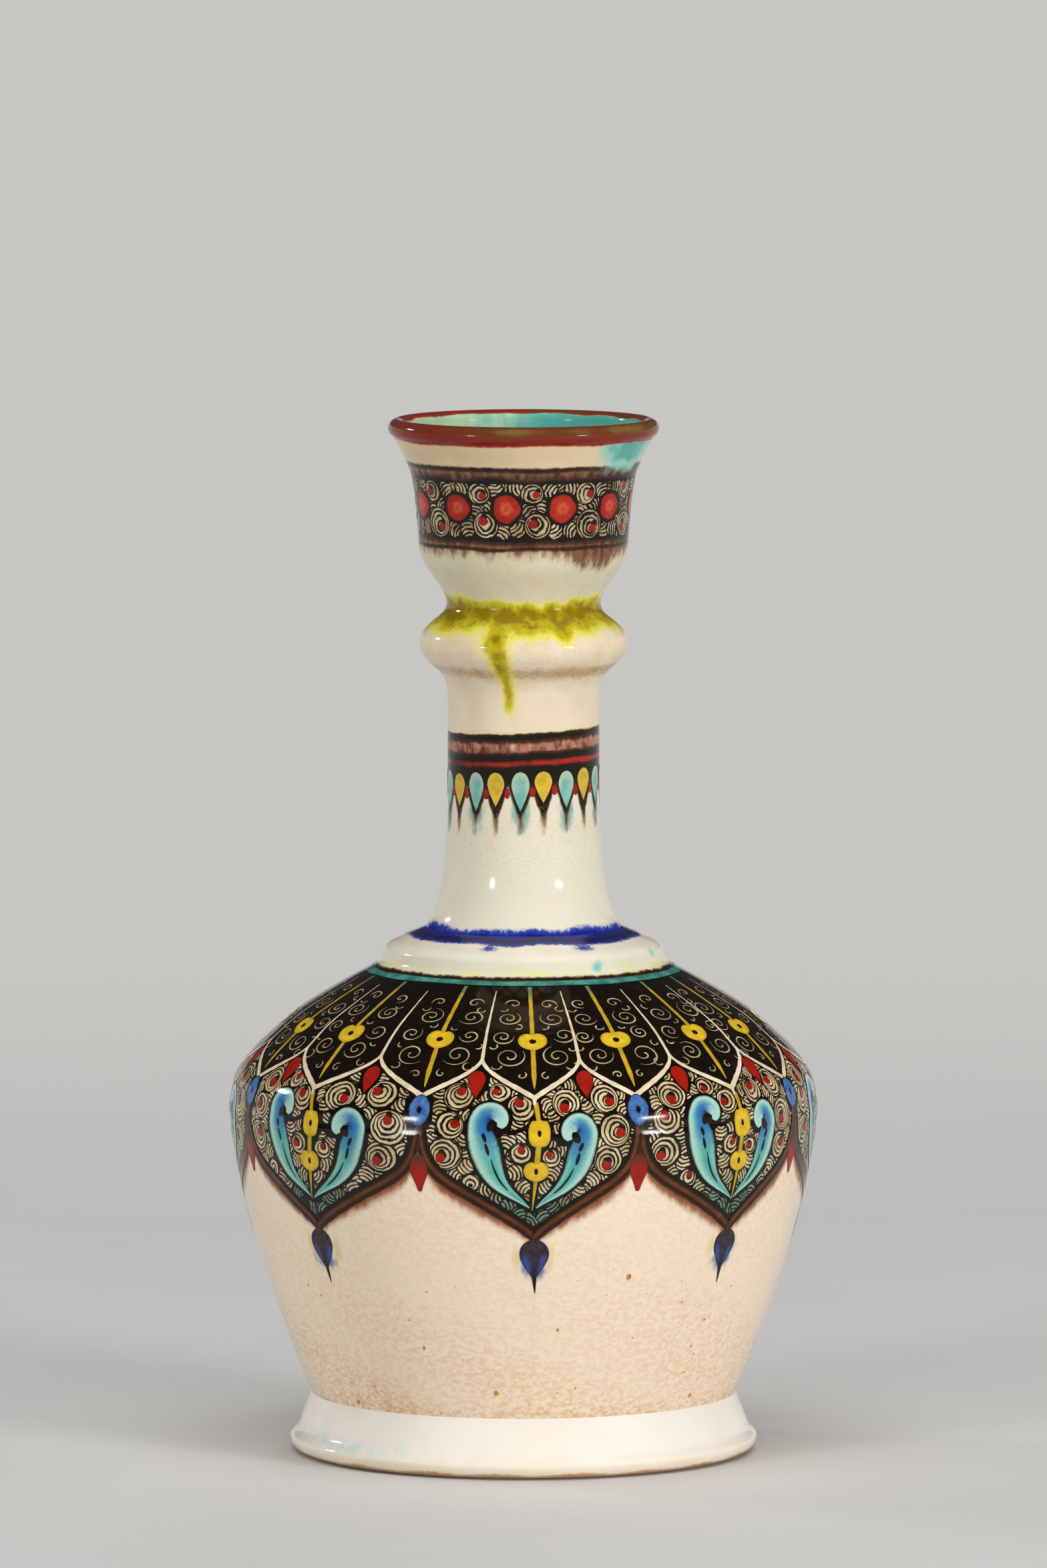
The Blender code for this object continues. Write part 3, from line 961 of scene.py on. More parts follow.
class Channel(Enum):
    """What a painted patch knows of each of its points: a part of its motif, or its rim."""

    ALONG = "X"
    ACROSS = "Y"
    RIM = "rim"


ALONG, ACROSS, RIM = Channel


@dataclass(frozen=True)
class Tint:
    """A second tone in an enamel, laid by where on the patch a point is."""

    colour: Colour
    channel: Channel
    low: float  # where it starts to show
    high: float  # where it shows in full, which may be below low
    share: float
    also: tuple[Channel, float, float] | None = None  # a second channel that must agree, with its low and high


@dataclass(frozen=True)
class Enamel:
    """A painted colour under the gloss, with its further tones, first to last."""

    name: str
    colour: Colour
    cloud: Colour  # what its uneven brushing turns to
    cloud_scale: float
    speck: Colour = (0.02, 0.015, 0.01)
    speck_share: float = 0.35
    tints: tuple[Tint, ...] = ()
    wobble: float = 0.25  # how unsteady the edges of its tints are
    roughness: float = 0.1
    speck_scale: ClassVar[float] = 1800.0
    speck_cut: ClassVar[float] = 0.7

    @cache
    def material(self) -> Material:
        """Build the enamel once: brushed tones, the tints, fine grains, and a gloss that varies a little.

        Returns:
            The material.
        """
        made, bench, shader = Bench.finish(self.name)
        skin = bench.skin(self.cloud_scale, 1.0, self.speck_scale, self.speck_cut)
        grains = bench.math("MULTIPLY", skin["Speck"], self.speck_share)
        colour = bench.mix(grains, self.ground(bench, skin), self.speck)
        bench.feed(shader, bench.gloss(colour, skin["Grain"], self.roughness))
        return made

    def ground(self, bench: Bench, skin: dict) -> Socket:
        """The enamel's colour before its grains.

        Args:
            bench: The material's bench.
            skin: The skin's unevenness, by label.

        Returns:
            The colour's socket.
        """
        colour = bench.mix(skin["Cloud"], self.colour, self.cloud)
        sway = bench.about(skin["Grain"], self.wobble)
        for tint in self.tints:
            share = self.reach(bench, sway, tint.channel, tint.low, tint.high)
            if tint.also:
                share = bench.math("MULTIPLY", share, self.reach(bench, sway, *tint.also))
            colour = bench.mix(bench.math("MULTIPLY", share, tint.share), colour, tint.colour)
        return colour

    def reach(self, bench: Bench, sway: Socket, channel: Channel, low: float, high: float) -> Socket:
        """How far a point is from low to high on one channel, with an edge as unsteady as the sway."""
        value = bench.carried("rim") if channel is RIM else bench.split(bench.carried("motif", "Vector"))[channel.value]
        return bench.ramp(bench.math("ADD", value, sway), low, high)


@dataclass(frozen=True)
class RosetteEnamel(Enamel):
    """Cream rosettes drawn with a dark line that runs round and round, gathered towards its root."""

    line_share: float = 0.42  # how much of the distance between two turns the line takes
    blotch: float = 0.4  # how unevenly the line swells and the cream darkens
    line: Colour = INK
    stain: Colour = (0.02, 0.14, 0.1)  # the tone of rosettes that lie in a run
    dusk: Colour = (0.2, 0.115, 0.045)  # the tone that the cream darkens to
    beyond: float = 1.25  # how far from a small rosette's middle its arcs' own middle is, in its radii
    soft: float = 0.1  # half the width of the line's edge

    def ground(self, bench: Bench, skin: dict) -> Socket:
        """Nested circles whose centres move to a root, opened into a spiral, and plain arcs on small rosettes.

        The circle of share t has radius t and its centre at (1 - t) times the root, so t at a point p
        follows from a quadratic in p less the root. A turn angle round the root opens the circles. The
        arcs of a small rosette count the distance from a point beyond its rim.

        Args:
            bench: The material's bench.
            skin: The skin's unevenness, by label.

        Returns:
            The colour's socket.
        """
        calc, vector, place = bench.math, bench.vector, bench.place()
        motif, rings = bench.carried("motif", "Vector"), bench.carried("rings")
        swing = calc("MULTIPLY", bench.split(motif)["Z"], math.tau)
        flat = vector("MULTIPLY", motif, (1.0, 1.0, 0.0))
        way = bench.add("CombineXYZ", {0: calc("COSINE", swing), 1: calc("SINE", swing)}).outputs[0]
        root = vector("MULTIPLY", way, (ROOT_LEAN, ROOT_LEAN, 0.0))
        off = vector("SUBTRACT", flat, root)
        dot, square = vector("DOT_PRODUCT", off, root), vector("DOT_PRODUCT", off, off)
        free = 1.0 - ROOT_LEAN**2
        under = calc("ADD", calc("MULTIPLY", dot, dot), calc("MULTIPLY", square, free))
        nested = calc("DIVIDE", calc("ADD", dot, calc("SQRT", under)), free)
        count = calc("MULTIPLY", nested, rings)
        parts = bench.split(off)
        spiral = calc("ADD", count, calc("DIVIDE", calc("ARCTAN2", parts["Y"], parts["X"]), math.tau))
        beyond = vector("MULTIPLY", way, (self.beyond, self.beyond, 0.0))
        arcs = calc("MULTIPLY", vector("DISTANCE", flat, beyond), rings)
        large = calc("GREATER_THAN", rings, 2.4)
        turns = calc("ADD", arcs, calc("MULTIPLY", calc("SUBTRACT", spiral, arcs), large))
        turns = calc("ADD", turns, bench.about(bench.noise(place, 480.0), self.wobble))
        fold = calc("ABSOLUTE", calc("SUBTRACT", calc("FRACT", turns), 0.5))
        weight = bench.about(bench.noise(place, 260.0), self.blotch)
        edge = 0.5 - self.line_share / 2
        line = bench.ramp(calc("ADD", fold, weight), edge - self.soft, edge + self.soft)
        dusk = calc("MULTIPLY", bench.ramp(bench.noise(place, 110.0), 0.46, 0.68), self.blotch)
        cream = bench.mix(dusk, bench.mix(skin["Cloud"], self.colour, self.cloud), self.dusk)
        eye = calc("MULTIPLY", bench.ramp(count, 0.62, 0.42), large)
        run = calc("MULTIPLY", bench.carried("rim"), 0.8)
        return bench.mix(calc("MAXIMUM", line, eye), bench.mix(run, cream, self.stain), self.line)


@dataclass(frozen=True)
class Patch:
    """A batch of patches of one shape, as (patch, row, column) grids of points on a line of the vessel."""

    turn: Array
    along: Array
    motif: Array  # place on the patch and its seed
    rim: Array  # nearness to the patch's rim, or a run's strength on a rosette
    rings: Array | float = 1.0  # how many turns a rosette's spiral has


def ribbon(line: Meridian, turn: Array, along: Array, half: Array, columns: int = 3) -> Patch:
    """Brush strokes: a width carried along paths on the vessel, square to each path.

    Args:
        line: The vessel's line.
        turn: Turn angles of the paths' points, as (path, point).
        along: Lengths along the line, alike.
        half: Half widths, alike.
        columns: Points across a stroke.

    Returns:
        The strokes, whose motif runs 0 to 1 along them and -1 to 1 across.
    """
    turn, along, half = np.broadcast_arrays(*(np.atleast_2d(part) for part in (turn, along, half)))
    radius = line.radius(along)
    run_turn, run_along = np.gradient(turn, axis=1) * radius, np.gradient(along, axis=1)
    length = np.hypot(run_turn, run_along) + 1e-9
    across = np.linspace(-1.0, 1.0, columns)
    width = half[..., None] * across
    grid_turn = turn[..., None] - (run_along / length / radius)[..., None] * width
    grid_along = along[..., None] + (run_turn / length)[..., None] * width
    motif = together(shares(turn.shape[1])[None, :, None], across, 0.0)
    return Patch(grid_turn, grid_along, motif, np.abs(across))


def blot(
    line: Meridian,
    places: Array,
    wide: Array,
    high: Array,
    tilt: Array = 0.0,
    outline: Callable[[Array], Array] | Array = np.ones_like,
    size: int = 7,
    seeds: Array = 0.0,
) -> Patch:
    """Round patches: a square grid pressed into a disc, so that it has no pole, then scaled and turned.

    Args:
        line: The vessel's line.
        places: The middles, as rows of turn angle and length along the line.
        wide: Half widths.
        high: Half heights.
        tilt: Turns, in radians.
        outline: The rim's reach at an angle, or a row of reaches round each patch, in millimetres.
        size: Points along a side of the grid.
        seeds: The patches' seeds.

    Returns:
        The patches, whose motif is the place on the unit disc, or in millimetres with a row of reaches.
    """
    side = np.linspace(-1.0, 1.0, size)
    x, y = np.meshgrid(side, side)
    x, y = x * np.sqrt(1.0 - y**2 / 2.0), y * np.sqrt(1.0 - x**2 / 2.0)
    angle, scale = np.arctan2(y, x), 1.0
    if callable(outline):
        reach = outline(angle)
    else:
        count = outline.shape[1]
        spot = (angle + math.pi) / math.tau * count
        low = np.floor(spot).astype(int)
        reach = outline[:, low % count] * (1.0 - spot + low) + outline[:, (low + 1) % count] * (spot - low)
        scale = reach
    parts = (np.broadcast_to(value, len(places))[:, None, None] for value in (wide, high, tilt, seeds))
    wide, high, tilt, seeds = parts
    right, down = x * reach * wide, y * reach * high
    along = places[:, 1, None, None] + right * np.sin(tilt) + down * np.cos(tilt)
    turn = places[:, 0, None, None] + (right * np.cos(tilt) - down * np.sin(tilt)) / line.radius(along)
    return Patch(turn, along, together(x * scale, y * scale, seeds), np.hypot(x, y))


@dataclass
class Ornament:
    """Painted work along one line of the vessel, in coats of a name, a layer, a finish and patches."""

    line: Meridian
    slot: ClassVar[str] = ""

    def coats(self) -> list[tuple[str, Layer, Enamel, list[Patch]]]:
        """Draw every coat."""
        return []

    def build(self) -> list[Piece]:
        """Draw every coat and lay it on the vessel."""
        return [self.lay(*coat) for coat in self.coats()]

    def hang(self, count: Array, ends: tuple, half: Array, columns: int = 3, lean: Array = 0.0) -> Patch:
        """Strokes straight down at counts of the ring, between two ends, by their half widths."""
        turn, along = RING.angle(count) + lean, part_way(ends, shares(half.shape[-1]))
        return ribbon(self.line, turn, along, half, columns)

    def lay(self, name: str, layer: Layer, finish: Enamel, patches: list[Patch]) -> Piece:
        """Put all patches of a coat into one mesh that lies along the vessel, each facing out.

        Args:
            name: The piece's name.
            layer: How high the coat stands.
            finish: Its finish.
            patches: Its patches, in batches.

        Returns:
            The coat's object.
        """
        cells = math.ceil(math.sqrt(sum(len(patch.turn) for patch in patches)))
        quads, parts, start, done = [], [], 0, 0
        for order, patch in enumerate(patches):
            count, rows, columns = patch.turn.shape
            grid = self.line.place(patch.turn, patch.along, layer.value + BATCH_LIFT * min(order, 6))
            out = self.line.outward(patch.turn, patch.along)
            row, column = rows // 2, columns // 2
            here = grid[:, row, column]
            side = np.cross(here - grid[:, row, column - 1], here - grid[:, row - 1, column])
            inward = (side * out[:, row, column]).sum(-1)[:, None, None] < 0
            number = np.arange(count)[:, None, None]
            faces = grid_faces(rows, columns) + start + number * rows * columns
            quads.append(np.where(inward, faces[:, :, ::-1], faces).reshape(-1, 4))
            up, right = np.divmod(done + number, cells)
            spread_x, spread_y = np.linspace(0.06, 0.94, columns), np.linspace(0.06, 0.94, rows)[:, None]
            cell = together((right + spread_x) / cells, (up + spread_y) / cells)
            marks = together(patch.rim, patch.rings)
            found = (grid, out, patch.motif, marks, cell)
            parts.append([np.broadcast_to(part, (*grid.shape[:3], part.shape[-1])) for part in found])
            start += count * rows * columns
            done += count
        found = (np.concatenate([part.reshape(-1, part.shape[-1]) for part in kind]) for kind in zip(*parts))
        points, ways, motif, marks, cell = found
        made = mesh_object(name, points, np.concatenate(quads), finish.material())
        carry(made, "motif", motif)
        carry(made, "rim", marks[:, 0])
        carry(made, "rings", marks[:, 1])
        carry_bake_map(made, cell[corners(made)])
        made.data.normals_split_custom_set_from_vertices(ways)
        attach(made, "root")
        return made


@dataclass(frozen=True)
class TongueRing:
    """Where the hand set the sixteen tongues round the shoulder, counted from the front one."""

    count: int = 16
    first: int = -3  # the count of the first angle below
    tips: tuple[float, ...] = (-68.5, -46.8, -20.7, 2.2, 22.9, 46.6, 66.0)  # the others share the rest evenly

    def table(self) -> tuple[Array, Array]:
        """Counts and angles of the tips over three turns, so that both may run past half a turn.

        Returns:
            The counts and the angles.
        """
        rest = np.linspace(self.tips[-1], self.tips[0] + 360.0, self.count - len(self.tips) + 2)[1:-1]
        turn = np.concatenate([self.tips, rest])
        counts = self.first + np.arange(-self.count, 2 * self.count)
        return counts, np.radians(np.concatenate([turn - 360.0, turn, turn + 360.0]))

    def angle(self, count: Array) -> Array:
        """The turn angle at a count."""
        return np.interp(count, *self.table())

    def count_at(self, turn: Array) -> Array:
        """The count at a turn angle."""
        return np.interp(turn, *self.table()[::-1])


RING = TongueRing()
TIPS = np.arange(RING.count)
TURNS = TIPS[:, None]
LAPPETS = np.arange(RING.count // 2)
ROWS = LAPPETS[:, None]


def lappet_share(turn: Array) -> Array:
    """How far an angle lies from the nearest lappet's middle: 0 there, 1 where two lappets meet."""
    return np.abs((RING.count_at(turn) + 1.0) % 2.0 - 1.0)


def lappet_edge(share: Array) -> Array:
    """Length along the body line of the lappets' lower edge: an ogee from the tip up to the meeting line."""
    knots = [(0.0, 91.4), (0.04, 90.0), (0.12, 87.9), (0.32, 83.6), (0.55, 79.0), (0.75, 75.0), (0.87, 71.6)]
    return edge_at(share, knots + [(0.94, 68.0), (0.98, 63.0), (1.0, 57.5)], 30.0, 0.3)


def scallop(share: Array) -> Array:
    """Length along the body line of the tongues' lower edge, from the node at 0 to the tip at 1."""
    knots = [(0.0, 35.8), (0.05, 37.4), (0.16, 39.6), (0.42, 42.9), (0.76, 46.4), (1.0, 49.0)]
    return edge_at(share, knots, 17.0, 0.2)


def nearest(turn: Array, angles: Array) -> Array:
    """How far each turn angle is from the nearest of some angles, in degrees."""
    return np.degrees(np.abs(wrapped(np.asarray(turn)[..., None] - angles)).min(-1))


def drop_share(along: Array, waist: float, taper: float) -> Array:
    """A drop's half widths at shares of its length: a quarter circle down to the waist, then a taper by a power."""
    top, low = (waist - along) / waist, np.clip((along - waist) / (1.0 - waist), 0.0, 1.0)
    return np.where(along < waist, np.sqrt(np.clip(1.0 - top**2, 0.0, 1.0)), 1.0 - low**taper)


def notched(angle: Array) -> Array:
    """A flower's rim with a notch at the top, two full shoulders and a slimmer foot."""
    up = np.abs(wrapped(angle + math.pi / 2))
    return 1.0 - 0.26 * hump(up, 0.0, 0.28) + 0.05 * hump(up, 0.95, 0.5) - 0.05 * hump(up, 2.6, 0.4)


def barrel(angle: Array) -> Array:
    """A flower's rim: a full, squarish oval with small lobes at the top."""
    full, up = (np.abs(np.cos(angle)) ** 2.8 + np.abs(np.sin(angle)) ** 2.8) ** (-1 / 2.8), wrapped(angle + math.pi / 2)
    return full * (0.95 + 0.06 * np.cos(9.0 * up) * hump(up, 0.0, 0.9))


def lens(angle: Array) -> Array:
    """A flower's rim drawn out a little at the top and the foot."""
    return 0.97 + 0.1 * np.abs(np.sin(angle)) ** 10


def uneven(angle: Array) -> Array:
    """A dab's rim, not quite round."""
    return 1.0 + 0.035 * np.cos(3.0 * angle + 0.6) + 0.03 * np.cos(5.0 * angle)


@dataclass
class RosetteField:
    """A stretch of the vessel to be covered with rosettes that lap over each other, as a flat grid of places."""

    x: Array  # distances across
    y: Array  # lengths along the vessel's line
    room: Array  # distance to the nearest thing to keep clear of
    gap: float = 0.5  # width of the dark line between two rosettes
    lap: float = 1.2  # how far a rosette reaches under the ones before it
    angles: int = 40  # at how many angles a rosette's reach is measured

    def pack(self, first: Array, least: float, most: float) -> Array:
        """Cover the field: the rosettes wanted first, then each in the roomiest place left.

        Args:
            first: The rosettes wanted first, as rows of place and radius.
            least: The least room that still takes a rosette.
            most: The largest radius after the first ones.

        Returns:
            The rosettes, as rows of place and radius, the upper ones first.
        """
        left, wanted, discs = self.room, first.tolist(), []
        while wanted or left.max() >= least:
            if wanted:
                across, along, radius = wanted.pop(0)
            else:
                spot = int(np.argmax(left))
                across, along, radius = self.x.flat[spot], self.y.flat[spot], min(left.flat[spot] + self.lap, most)
            discs.append((across, along, radius))
            left = np.minimum(left, np.hypot(self.x - across, self.y - along) - radius)
        return np.array(discs)

    def reaches(self, discs: Array) -> Array:
        """How far each rosette spreads at each angle before it goes under another one or off the field.

        A ray meets a circle where its length is the way to the circle's middle along the ray, less half
        the chord.

        Args:
            discs: The rosettes, as rows of place and radius, the upper ones first.

        Returns:
            The reaches, as (rosette, angle).
        """
        angle = np.linspace(-math.pi, math.pi, self.angles, endpoint=False)
        ways = np.stack([np.cos(angle), np.sin(angle)])
        apart = discs[None, :, :2] - discs[:, None, :2]
        ahead = apart @ ways
        half_chord = discs[None, :, 2, None] ** 2 - (apart**2).sum(-1)[..., None] + ahead**2
        order = np.arange(len(discs))
        over = (order[None, :] < order[:, None])[..., None] & (half_chord > 0.0) & (ahead > 0.0)
        meets = np.where(over, ahead - np.sqrt(np.maximum(half_chord, 0.0)), np.inf)
        reach = np.minimum(meets.min(1), discs[:, 2:]) - self.gap / 2
        out = shares(24)
        step = self.x[0, 1] - self.x[0, 0]
        spots = discs[:, :2, None, None] + ways[None, :, :, None] * (reach[..., None] * out)[:, None]
        column = np.clip(np.rint((spots[:, 0] - self.x[0, 0]) / step).astype(int), 0, self.x.shape[1] - 1)
        row = np.clip(np.rint((spots[:, 1] - self.y[0, 0]) / step).astype(int), 0, self.x.shape[0] - 1)
        free = np.cumprod(self.room[row, column] > 0.0, axis=-1).sum(-1)
        reach = np.maximum(reach * out[np.maximum(free - 1, 0)], 0.05)
        return (np.roll(reach, 1, 1) + 4.0 * reach + np.roll(reach, -1, 1)) / 6


@dataclass
class RosetteBatch:
    """Packed rosettes, ready to be drawn."""

    line: Meridian
    places: Array
    stretch: Array  # how many millimetres one unit of the field is, round the vessel
    radius: Array
    reach: Array  # as (rosette, angle)
    runs: Array  # how strongly a run stains each one
    seeds: Array  # where their roots are, as shares of a turn
    spacing: ClassVar[float] = 1.1  # distance between two turns of a rosette's line
    large: ClassVar[float] = 2.6  # the radius from which a rosette has a finer grid
    least: ClassVar[float] = 0.45  # the mean reach that still shows

    def discs(self) -> list[Patch]:
        """The rosettes, cut to the outlines that they have room for.

        Returns:
            The rosettes.
        """
        found = []
        seen = self.reach.mean(1) > self.least
        for chosen, size in ((seen & (self.radius > self.large), 11), (seen & (self.radius <= self.large), 7)):
            places, stretch, reach, seeds = (
                part[chosen] for part in (self.places, self.stretch, self.reach, self.seeds)
            )
            radius, runs = (part[chosen, None, None] for part in (self.radius, self.runs))
            made = blot(self.line, places, stretch, 1.0, 0.0, reach, size, seeds)
            made.motif[..., :2] /= radius[..., None]
            found.append(replace(made, rim=runs, rings=radius / self.spacing))
        return found

    def dabs(self, least: float, largest: float) -> tuple[Patch, Patch]:
        """A red dab at the root of each larger rosette, and a black flame over its top.

        Args:
            least: The smallest radius of a rosette with a dab.
            largest: The largest dab's radius.

        Returns:
            The dabs and the flames.
        """
        count = self.reach.shape[1]
        spot = np.rint((self.seeds + 0.5) * count).astype(int) % count
        clear = self.reach[np.arange(len(spot)), spot] > (ROOT_LEAN + 0.2) * self.radius
        chosen = np.nonzero((self.radius > least) & clear)[0]
        swing, away = self.seeds[chosen] * math.tau, ROOT_LEAN * self.radius[chosen]
        along = self.places[chosen, 1] + away * np.sin(swing)
        round_at = self.line.radius(along)
        turn = self.places[chosen, 0] + away * np.cos(swing) * self.stretch[chosen] / round_at
        size = np.clip(0.33 * self.radius[chosen], 0.7, largest)
        red = blot(self.line, together(turn, along), size, 0.95 * size, swing, uneven)
        above = together(turn + 0.3 * size / round_at, along - 0.95 * size)
        return red, blot(self.line, above, 0.75 * size, 0.9 * size, 0.5 * np.cos(3.0 * swing), uneven, 5)


class Paints:
    """The enamels of the ornament."""

    CREAM_LINE = Enamel(
        "cream_line", (0.71, 0.6, 0.44), (0.58, 0.46, 0.3), 300.0, (0.36, 0.22, 0.1), 0.4,
        (Tint((0.3, 0.18, 0.08), RIM, 0.7, 1.15, 0.8),),
    )
    SCROLL = Enamel("scroll_line", (0.28, 0.2, 0.1), (0.48, 0.37, 0.21), 250.0, INK, 0.5)
    YELLOW = Enamel(
        "yellow_enamel", (0.66, 0.44, 0.022), (0.54, 0.34, 0.015), 350.0, (0.22, 0.11, 0.01), 0.6,
        (Tint((0.36, 0.21, 0.012), RIM, 0.74, 1.05, 0.8),),
    )
    STEM = Enamel(
        "stem_enamel", (0.5, 0.32, 0.017), (0.4, 0.24, 0.012), 350.0, (0.2, 0.09, 0.01), 0.5,
        (Tint((0.03, 0.16, 0.09), ALONG, 0.16, 0.03, 0.9), Tint((0.3, 0.17, 0.012), RIM, 0.6, 1.1, 0.7)),
    )
    RED = Enamel(
        "red_enamel", (0.31, 0.01, 0.004), (0.23, 0.008, 0.003), 300.0, (0.14, 0.005, 0.003), 0.5,
        (Tint((0.12, 0.006, 0.004), RIM, 0.8, 1.05, 0.9),),
    )
    POINT_RED = Enamel(
        "point_red", (0.3, 0.01, 0.004), (0.22, 0.008, 0.003), 300.0, (0.14, 0.005, 0.003), 0.4,
        (Tint((0.14, 0.006, 0.004), RIM, 0.78, 1.05, 0.9), Tint((0.07, 0.022, 0.012), ALONG, 0.5, 0.06, 0.92)),
    )
    BLUE = Enamel(
        "blue_enamel", (0.036, 0.1, 0.29), (0.07, 0.17, 0.39), 900.0, (0.16, 0.27, 0.48), 0.4,
        (Tint((0.015, 0.03, 0.16), RIM, 0.36, 0.18, 0.9), Tint(INK, RIM, 0.84, 1.02, 0.9)),
    )
    INK_LINE = Enamel("ink_line", INK, (0.014, 0.008, 0.005), 300.0)
    RING_LINE = Enamel(
        "turquoise_line", (0.022, 0.14, 0.105), (0.06, 0.29, 0.24), 200.0, INK, 0.7,
        (Tint((0.012, 0.05, 0.04), RIM, 0.62, 1.1, 0.85),), 0.7,
    )
    LEAF = Enamel(
        "leaf_enamel", (0.055, 0.31, 0.27), (0.11, 0.4, 0.34), 220.0, (0.02, 0.1, 0.12), 0.4,
        (
            Tint((0.38, 0.57, 0.48), ACROSS, 0.05, -0.9, 0.92),
            Tint((0.27, 0.51, 0.43), ACROSS, 0.3, 1.0, 0.75, (ALONG, 0.5, 0.34)),
            Tint((0.026, 0.125, 0.36), ACROSS, -0.75, 0.25, 0.92, (ALONG, 0.3, 0.56)),
            Tint((0.006, 0.03, 0.14), ACROSS, 0.15, 0.95, 0.95, (ALONG, 0.5, 0.64)),
            Tint((0.36, 0.56, 0.47), ALONG, 0.7, 0.92, 0.92),
            Tint((0.012, 0.06, 0.055), RIM, 0.78, 1.02, 0.9),
        ), 0.16,
    )
    BORDER = Enamel(
        "border_brown", (0.08, 0.021, 0.004), (0.12, 0.034, 0.008), 260.0, INK, 0.5,
        (
            Tint((0.01, 0.005, 0.002), ACROSS, -0.4, -0.7, 0.95),
            Tint((0.018, 0.006, 0.002), ACROSS, 0.0, 0.32, 0.95),
            Tint((0.07, 0.021, 0.007), ACROSS, 0.72, 1.0, 0.9),
        ), 0.45,
    )
    PENDANT = Enamel(
        "pendant_blue", (0.022, 0.014, 0.02), (0.045, 0.026, 0.034), 500.0, (0.06, 0.09, 0.26), 0.5,
        (
            Tint((0.03, 0.06, 0.27), RIM, 0.25, 0.65, 0.9, (ALONG, 0.3, 0.55)),
            Tint((0.01, 0.008, 0.012), ALONG, 0.7, 0.92, 0.95),
            Tint((0.01, 0.008, 0.012), RIM, 0.8, 1.0, 0.95),
        ), 0.3,
    )
    ROSETTE = RosetteEnamel(
        "rosette_cream", (0.6, 0.49, 0.3), (0.44, 0.33, 0.17), 250.0, INK, 0.2, wobble=0.8, line_share=0.46
    )
    CUP_ROSETTE = RosetteEnamel(
        "cup_rosette_cream", (0.52, 0.42, 0.25), (0.36, 0.26, 0.13), 250.0, INK, 0.2, wobble=1.3, line_share=0.54,
        blotch=0.8,
    )
    DOT = Enamel(
        "cup_dot_red", (0.36, 0.018, 0.008), (0.28, 0.01, 0.005), 420.0, (0.6, 0.2, 0.07), 0.35,
        (
            # The first tint lightens each dot's middle to orange: partly the red's own tone, partly a painted
            # highlight.
            Tint((0.56, 0.1, 0.035), RIM, 0.62, 0.25, 0.7),
            Tint((0.34, 0.02, 0.008), RIM, 0.28, 0.08, 0.6),
            Tint((0.16, 0.008, 0.005), RIM, 0.82, 1.02, 0.9),
        ), 0.6,
    )
    DROP_TURQUOISE = Enamel(
        "drop_turquoise", (0.23, 0.46, 0.39), (0.14, 0.37, 0.32), 350.0, (0.05, 0.12, 0.1), 0.5,
        (
            Tint((0.39, 0.46, 0.33), RIM, 0.35, 0.85, 0.85, (ALONG, 0.75, 0.3)),
            Tint((0.39, 0.46, 0.33), ALONG, 0.3, 0.05, 0.85),
            Tint((0.05, 0.22, 0.2), ALONG, 0.78, 1.0, 0.7),
        ), 0.3,
    )
    DROP_YELLOW = Enamel(
        "drop_yellow", (0.58, 0.4, 0.034), (0.48, 0.31, 0.02), 400.0, (0.26, 0.13, 0.02), 0.7,
        (Tint((0.62, 0.42, 0.11), RIM, 0.55, 0.95, 0.5),),
    )
    PIT = Enamel("iron_pit", (0.55, 0.27, 0.07), (0.4, 0.17, 0.04), 900.0, INK, 0.5, (), 0.4, 0.3)


